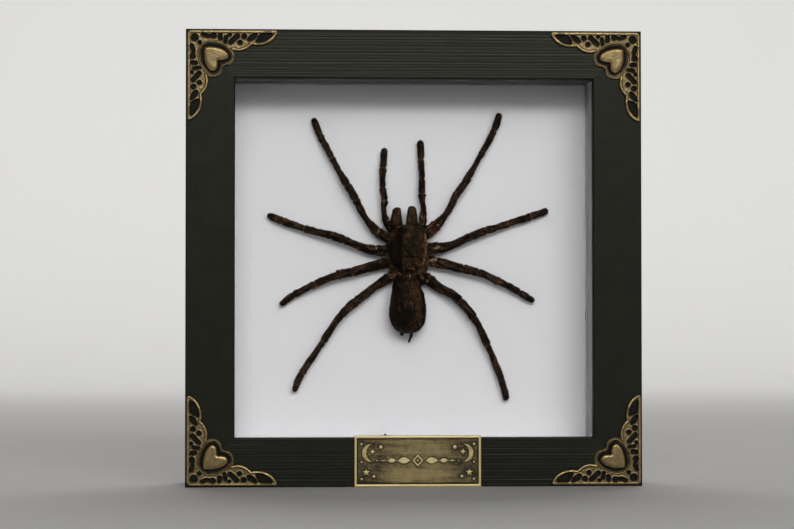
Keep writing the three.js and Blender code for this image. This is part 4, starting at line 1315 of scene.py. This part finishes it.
carapace = {
    "path": [[-2, 96, 6.2], [-1.9, 102, 6.6], [-1.7, 110, 6.8], [-1.5, 117.7, 6.6]],
    "girth": [3.4, 6.1, 7.6, 8.2, 8.3, 8.2, 7.9, 7.3, 6.4],
    "flat": 0.5, "blunt": 4, "rows": 210, "columns": 150,
    "middle": [-1.8, 107], "highest": 12.6,
    # furrows as [start, end, depth, half width] from the middle, on the right; the left repeats them
    "furrows": [[[0.4, -3.2], [4.6, 4.2], 0.22, 0.6], [[0.9, -3.6], [6.4, 0.2], 0.18, 0.5],
                [[0.9, -4.4], [6.0, -5.4], 0.12, 0.6], [[0.6, -4.6], [3.4, -8.6], 0.2, 0.6]],
    # marks as [x, z, half width, half height] from the middle
    "pit": [0, -3.8, 1.7, 0.5], "pitShade": [0, -3.8, 1.6, 0.55], "pitEdge": [0, -5.1, 1.8, 0.5],
    "hollow": [-4.2, 1, 2.3, 8], "eyeHill": [-1.9, 8.6, 1.35, 0.8], "brow": [-2.7, 8.1, 2.5, 1.1],
    "cheekWarm": [-6.9, 5.6, 1.92, 4.32], "cheekBare": [-6.9, 5.6, 1.8, 4.08],
    "crest": [-0.4, 3.5, 2.86, 6.05],
    # eyes as [aside, up, radius] from the eye hill
    "eyes": [[-0.36, 0.1, 0.3], [0.36, 0.1, 0.3], [-0.95, 0.25, 0.2], [0.95, 0.25, 0.2],
             [-0.9, -0.35, 0.19], [0.9, -0.35, 0.19], [-0.5, -0.42, 0.15], [0.5, -0.42, 0.15]],
    "hair": {"count": 2400, "length": [0.25, 0.6], "lift": 0.3, "thick": 0.028, "stray": 0.6},
}


def makeCarapace(skin, hair, gloss):
    # a low dome with a raised head, furrows running out from a pit, a thin flared edge and an eye hill
    c = carapace
    rings = limbRings(c["path"], c["girth"], c)
    sin = rings["sin"]
    place = ringPoints(rings)[..., [0, 2]] - c["middle"]
    x, z = place[..., 0], place[..., 1]
    spot = flatSpot(x, z)
    mirrored = np.stack([np.abs(x), z], -1).reshape(-1, 2)
    wobble = 0.35 * lumps(spot, 2.2, 40)
    rise = 1.1 * hump(x, 4.2) * ease(-4, 5, z)
    for start, end, depth, width in c["furrows"]:
        rise -= depth * hump(capsule(mirrored, start, end, 0).reshape(x.shape) + wobble, width)
    rise -= 0.75 * oval(x, z + 0.25 * np.abs(x), c["pit"]) + 0.8 * oval(x, z, c["hollow"])
    rise += 0.55 * oval(x, z, c["eyeHill"])
    rise += 0.22 * lumps(spot, 2.4, 41) + 0.1 * lumps(spot, 0.9, 42) + 0.04 * lumps(spot, 0.35, 43)
    grid = ringPoints(rings, 0.28 * hump(sin - 0.02, 0.12) + 0.16 * lumps(aroundSpot(rings, 3, 1.5), 1, 44))
    grid[..., 1] -= rise * ease(0.05, 0.7, sin) * ease(0, 0.35, rings["drawn"])
    grid[..., 1] = np.maximum(grid[..., 1], boardFront - c["highest"])

    rim = hump(sin - 0.2, 0.34) * ease(0, 5, x) * ease(-10, -6, z) * ease(8.5, 5.5, z)
    warm = 0.16 + 1.2 * rim + 0.3 * ease(-4, -9, z) * (sin > 0) + 0.5 * lumps(spot, 2.2, 45)
    warm += (0.35 * oval(x, z, c["cheekWarm"]) + 0.35 * lumps(spot, 0.9, 38)
             + 0.3 * hump(z - 9.6, 0.6) * (sin > 0))
    # the left third is painted near black: partly the skin's own dark, partly painted shade on the flank
    # that turns away from the light
    darkSideEdge = x + 0.25 * lumps(spot, 2.0, 46)
    dark = ease(-2.5, -3.3, darkSideEdge) * ease(8.5, 6.5, z + 0.8 * lumps(spot, 1.5, 49)) * (sin > -0.2)
    dark = most(dark, 0.9 * oval(x, z, c["pitShade"])) * (1 - 0.85 * oval(x, z, c["cheekBare"]))
    groove = hump(z + 4.4 - 0.12 * np.abs(x - 1), 0.32) * ease(-2.5, -1, x) * ease(5.5, 4, x)
    dark = most(dark, 1.2 * oval(x, z, c["brow"]),
                0.8 * ease(0.2, 0.6, lumps(spot * (1.6, 0.7, 1), 1.3, 50)),
                0.75 * ease(0.1, 0.55, lumps(spot, 0.6, 37)), 0.9 * groove)
    fleck = (ease(0.1, 0.7, lumps(spot * (1.5, 0.8, 1), 0.8, 47) + 0.5 * lumps(spot, 2.5, 48))
             * ease(-3, -2, x))
    crest = oval(x, z, c["crest"]) * ease(-3, -2, x)
    fleck = most(0.5 * fleck, (0.35 + 0.4 * fleck) * crest, 0.6 * oval(x, z, c["pitEdge"]))
    makeTube("carapace_skin", rings, grid, skin, ["cephalothorax"], {
        "pale": 0.72 * rim * ease(-0.4, 0.4, lumps(spot, 1.1, 39)),
        "warm": warm, "dark": dark, "fleck": fleck})
    makeCoxaPlate(skin)
    outwards = rings["tangent"] * (1, 0, 0) - (0, 0, 1)
    growHair("carapace_hair", grid, outwards, hair, c["hair"], 71, dark)

    hill = c["eyeHill"]
    top = grid[..., 1][np.hypot(x - hill[0], z - hill[1]) < 0.8].min()
    ball = unitBall(7, 14)[:, [0, 2, 1]] * (1, -1, 1)
    eyes = [ball * radius + (c["middle"][0] + hill[0] + aside, top + 0.1 + 0.22 * abs(aside),
                             c["middle"][1] + hill[1] + up) for aside, up, radius in c["eyes"]]
    makePiece("eyes", np.concatenate(eyes), repeatFaces(tubeFaces(7, 14), len(eyes), len(ball)), gloss)


abdomen = {
    "path": [[-1.9, 95.4, 6.4], [-2.0, 91, 6.8], [-2.05, 80, 7.2], [-1.85, 73, 7.0], [-1.8, 68.2, 6.6]],
    "girth": [1.9, 5.8, 7, 7.4, 7.9, 8.3, 8.5, 8.1, 6.6, 3.6],
    "flat": 0.72, "blunt": 3, "rows": 230, "columns": 150,
    # creases as points [x, z] with a depth and a half width
    "creases": [[[[1.2, 92], [2.4, 86], [3.0, 78], [2.0, 71]], 0.6, 0.7],
                [[[-4.2, 91.5], [-5.4, 86], [-5.2, 79]], 0.35, 0.9],
                [[[-7.6, 77.5], [-4.5, 76], [-1.5, 76.5]], 0.14, 0.6],
                [[[3.0, 81], [5.0, 80], [6.3, 81]], 0.14, 0.5],
                [[[1.2, 88.4], [3.2, 89.2], [5.4, 88.2]], 0.25, 0.5]],
    # marks as [x, z, half width, half height]
    "warmLitStreak": [2.6, 83.4, 1.7, 6], "darkMiddle": [-2.8, 76.6, 3.4, 3.2], "flecked": [-3.2, 85, 3.2, 4],
    "middle": -2, "waist": 6.6,
    "hair": {"count": 5600, "length": [0.35, 0.95], "lift": 0.4, "thick": 0.032, "stray": 0.45},
}


def trail(at, points):
    # distance from points [x, z] to a smooth line
    line, _ = curveThrough(points, 40)
    return np.min([capsule(at, a, b, 0) for a, b in zip(line, line[1:])], axis=0)


def makeAbdomen(skin, hair):
    # a shrunken egg: long creases where it fell in, cross wrinkles, and crumpled skin over all
    c = abdomen
    rings = limbRings(c["path"], c["girth"], c)
    sin, cos, run = rings["sin"], rings["cos"], rings["run"]
    place = ringPoints(rings)[..., [0, 2]]
    spot = flatSpot(place[..., 0], place[..., 1])
    wobble = 0.5 * lumps(spot, 2.0, 60)
    rise = 0.4 * lumps(spot, 4.5, 61) + 0.14 * lumps(spot * (1.6, 0.8, 1), 1.8, 62)
    rise += 0.16 * lumps(spot, 0.8, 63) + 0.05 * lumps(spot, 0.35, 64)
    for line, depth, width in c["creases"]:
        rise -= depth * hump(trail(place.reshape(-1, 2), line).reshape(rise.shape) + wobble, width)
    relief = (0.32 * lumps(aroundSpot(rings, 1.3, 6), 1, 65)
              + 0.2 * lumps(aroundSpot(rings, 3, 6 / 3.4), 1, 66))
    relief += 0.09 * lumps(aroundSpot(rings, 7, 0.75), 1, 67)
    relief -= 0.95 * hump(run - c["waist"], 1.5) * ease(0.2, 0.9, cos)
    grid = ringPoints(rings, relief)
    grid[..., 1] -= rise * ease(0.0, 0.6, sin) * ease(0, 0.35, rings["drawn"])

    x, z = grid[..., 0], grid[..., 2]
    aside = x - c["middle"]
    spot = flatSpot(aside, z)
    # darker on the left and warmer on the right, with a light streak down the right: partly the skin's own
    # colour, partly painted shade and painted highlight from the light on the right
    warm = (0.34 + 0.42 * lumps(spot * (1, 0.7, 1), 2.6, 68) + 0.25 * ease(-1, 4, aside)
            + 0.2 * ease(88, 93, z))
    warm += 0.75 * oval(x, z, c["warmLitStreak"]) - 0.3 * ease(-1, -5, aside)
    blotch = lumps(spot * (1.3, 0.8, 1), 2.2, 69) + 0.35 * ease(1, -3, aside)
    edge = hump(cos - 0.98, 0.22) * ease(-0.5, 0.1, sin) * ease(0.9, 0.5, sin)
    dark = most(0.8 * ease(0.1, 0.6, blotch), oval(x, z, c["darkMiddle"]), edge,
                0.8 * ease(0.12, 0.55, lumps(spot * (1.2, 0.8, 1), 0.9, 36)))
    pale = 0.75 * ease(92.6, 93.8, z) * most(hump(aside - 0.9, 0.35), 0.6 * hump(aside - 2.3, 0.4))
    streak = lumps(spot * (1, 0.5, 1), 0.7, 73) + 0.5 * lumps(spot, 2.2, 74)
    light = oval(x, z, c["flecked"]) * ease(-0.1, 0.5, lumps(spot * (1.2, 0.45, 1), 0.8, 35))
    fleck = most(0.8 * ease(0.15, 0.7, streak) * ease(-5, 1, aside), 0.6 * light)
    makeTube("abdomen_skin", rings, grid, skin, ["abdomen"],
             {"pale": pale, "warm": warm, "dark": dark, "fleck": fleck})
    growHair("abdomen_hair", grid, rings["tangent"], hair, c["hair"], 72, dark)


jaws = {
    "paths": {"chelicera_left": [[-6.0, 113.5, 4.6], [-6.85, 119.4, 6.3], [-6.65, 125.6, 5.4]],
              "chelicera_right": [[0.2, 113.5, 4.6], [-0.2, 119.4, 6.3], [-0.1, 126.2, 5.4]]},
    "inner": [1, -1], "girth": [3.0, 3.15, 2.85, 2.4, 1.85],
    "flat": 0.9, "blunt": 1.3, "rows": 110, "columns": 64,
    "pressedFrom": 0.78, "pressed": 0.8,    # how far out the facing sides are flat, as shares of the radius
    "hair": {"count": 1300, "length": [0.3, 0.8], "lift": 0.35, "thick": 0.03, "stray": 0.4},
}
fangs = {
    # the fang's path from the tip of its jaw, as [x, z, rise above the board]
    "path": [[0, -1.2, 3.9], [-0.1, -1.6, 2.6], [0, -3.6, 1.9], [0.2, -5.6, 1.9]],
    "girth": [0.75, 0.7, 0.5, 0.3, 0.1], "flat": 1.0, "blunt": 1, "rows": 40, "columns": 20,
}


def makeJaws(skin, hair, gloss):
    # stout jaws, pressed flat where they face each other, each with a fang folded beneath
    m = jaws
    for number, (name, path) in enumerate(m["paths"].items()):
        rings = limbRings(path, m["girth"], m)
        cos, run = rings["cos"], rings["run"]
        noise = lambda tight, stretch, seed: lumps(aroundSpot(rings, tight, stretch), 1, seed)
        grid = ringPoints(rings, 0.12 * noise(1.5, 3, 80 + number) + 0.06 * noise(4, 0.75, 82 + number))
        off = ((grid - rings["spot"][:, None]) * rings["across"][:, None]).sum(2)
        facing = np.sign(rings["across"][0, 0]) * m["inner"][number]
        push = np.maximum(facing * off - m["pressedFrom"] * rings["radius"], 0) * m["pressed"]
        grid = grid - rings["across"][:, None] * (facing * push)[..., None]
        warm = 0.2 + 0.35 * noise(1.5, 3, 84) + 0.3 * hump(cos, 0.5) * (rings["sin"] > 0)
        dark = most(0.7 * ease(0.8, 1.0, run / rings["length"]) + 0.9 * ease(6.5, 3.5, run),
                    0.9 * ease(0.5, 0.9, facing * cos), 0.7 * ease(0.65, 0.95, -facing * cos))
        makeTube(name + "_skin", rings, grid, skin, [name],
                 {"pale": 0, "warm": warm, "fleck": ease(0.2, 0.8, noise(3.5, 1.5, 85)), "dark": dark})
        growHair(name + "_hair", grid, rings["tangent"], hair, m["hair"], 73 + number, dark)
        fang = np.array(fangs["path"]) + (path[-1][0], path[-1][1], 0)
        rings = limbRings(fang, fangs["girth"], fangs)
        makeTube(name.replace("chelicera", "fang"), rings, ringPoints(rings), gloss)


spinnerets = {
    "spinneret_left": {"path": [[-4.2, 69.5, 5.6], [-4.7, 67.2, 5.2]], "girth": [0.9, 0.9, 0.7],
                       "joints": [0.5]},
    "spinneret_right": {"path": [[-0.4, 70, 5.8], [-0.3, 67.6, 5.4], [-1.5, 63.9, 4.6]],
                        "girth": [1, 0.9, 0.7, 0.5, 0.35], "joints": [0.35, 0.68]},
}
spinneretMake = {
    "rows": 90, "columns": 28, "flat": 0.92, "blunt": 1, "pinch": 0.16,
    "hair": {"count": 260, "length": [0.3, 0.8], "lift": 0.35, "thick": 0.028, "stray": 0.4},
}


def makeSpinnerets(skin, hair):
    # jointed tapering tubes with a ring pinched at each joint
    m = spinneretMake
    for number, (name, build) in enumerate(spinnerets.items()):
        rings = limbRings(build["path"], build["girth"], m)
        relief = 0.08 * lumps(aroundSpot(rings, 1, 1.5), 1, 90 + number)
        relief += 0.03 * lumps(aroundSpot(rings, 4, 0.375), 1, 92)
        for share in build["joints"]:
            relief = relief - m["pinch"] * hump(rings["run"] - share * rings["length"], 0.22)
        grid = ringPoints(rings, relief)
        makeTube(name + "_skin", rings, grid, skin, [name],
                 {"pale": 0, "warm": 0.3, "dark": 0.2, "fleck": 0.2})
        growHair(name + "_hair", grid, rings["tangent"], hair, m["hair"], 76 + number,
                 np.full(relief.shape, 0.3))


bodySkin = driedSkin("body_skin", (0.0040, 0.0029, 0.0016), (0.0330, 0.0220, 0.0105), (0.115, 0.052, 0.0210),
                     (0.078, 0.057, 0.031), 0.46)
bellySkin = driedSkin("belly_skin", (0.0030, 0.0022, 0.0015), (0.0160, 0.0100, 0.0058),
                      (0.048, 0.0200, 0.0092), (0.076, 0.046, 0.024), 0.5)
gloss = shinyBlack()
makeCarapace(bodySkin, hair, gloss)
makeAbdomen(bellySkin, hair)
makeJaws(bodySkin, hair, gloss)
makeSpinnerets(bellySkin, hair)
print("body, jaws and spinnerets are grown")
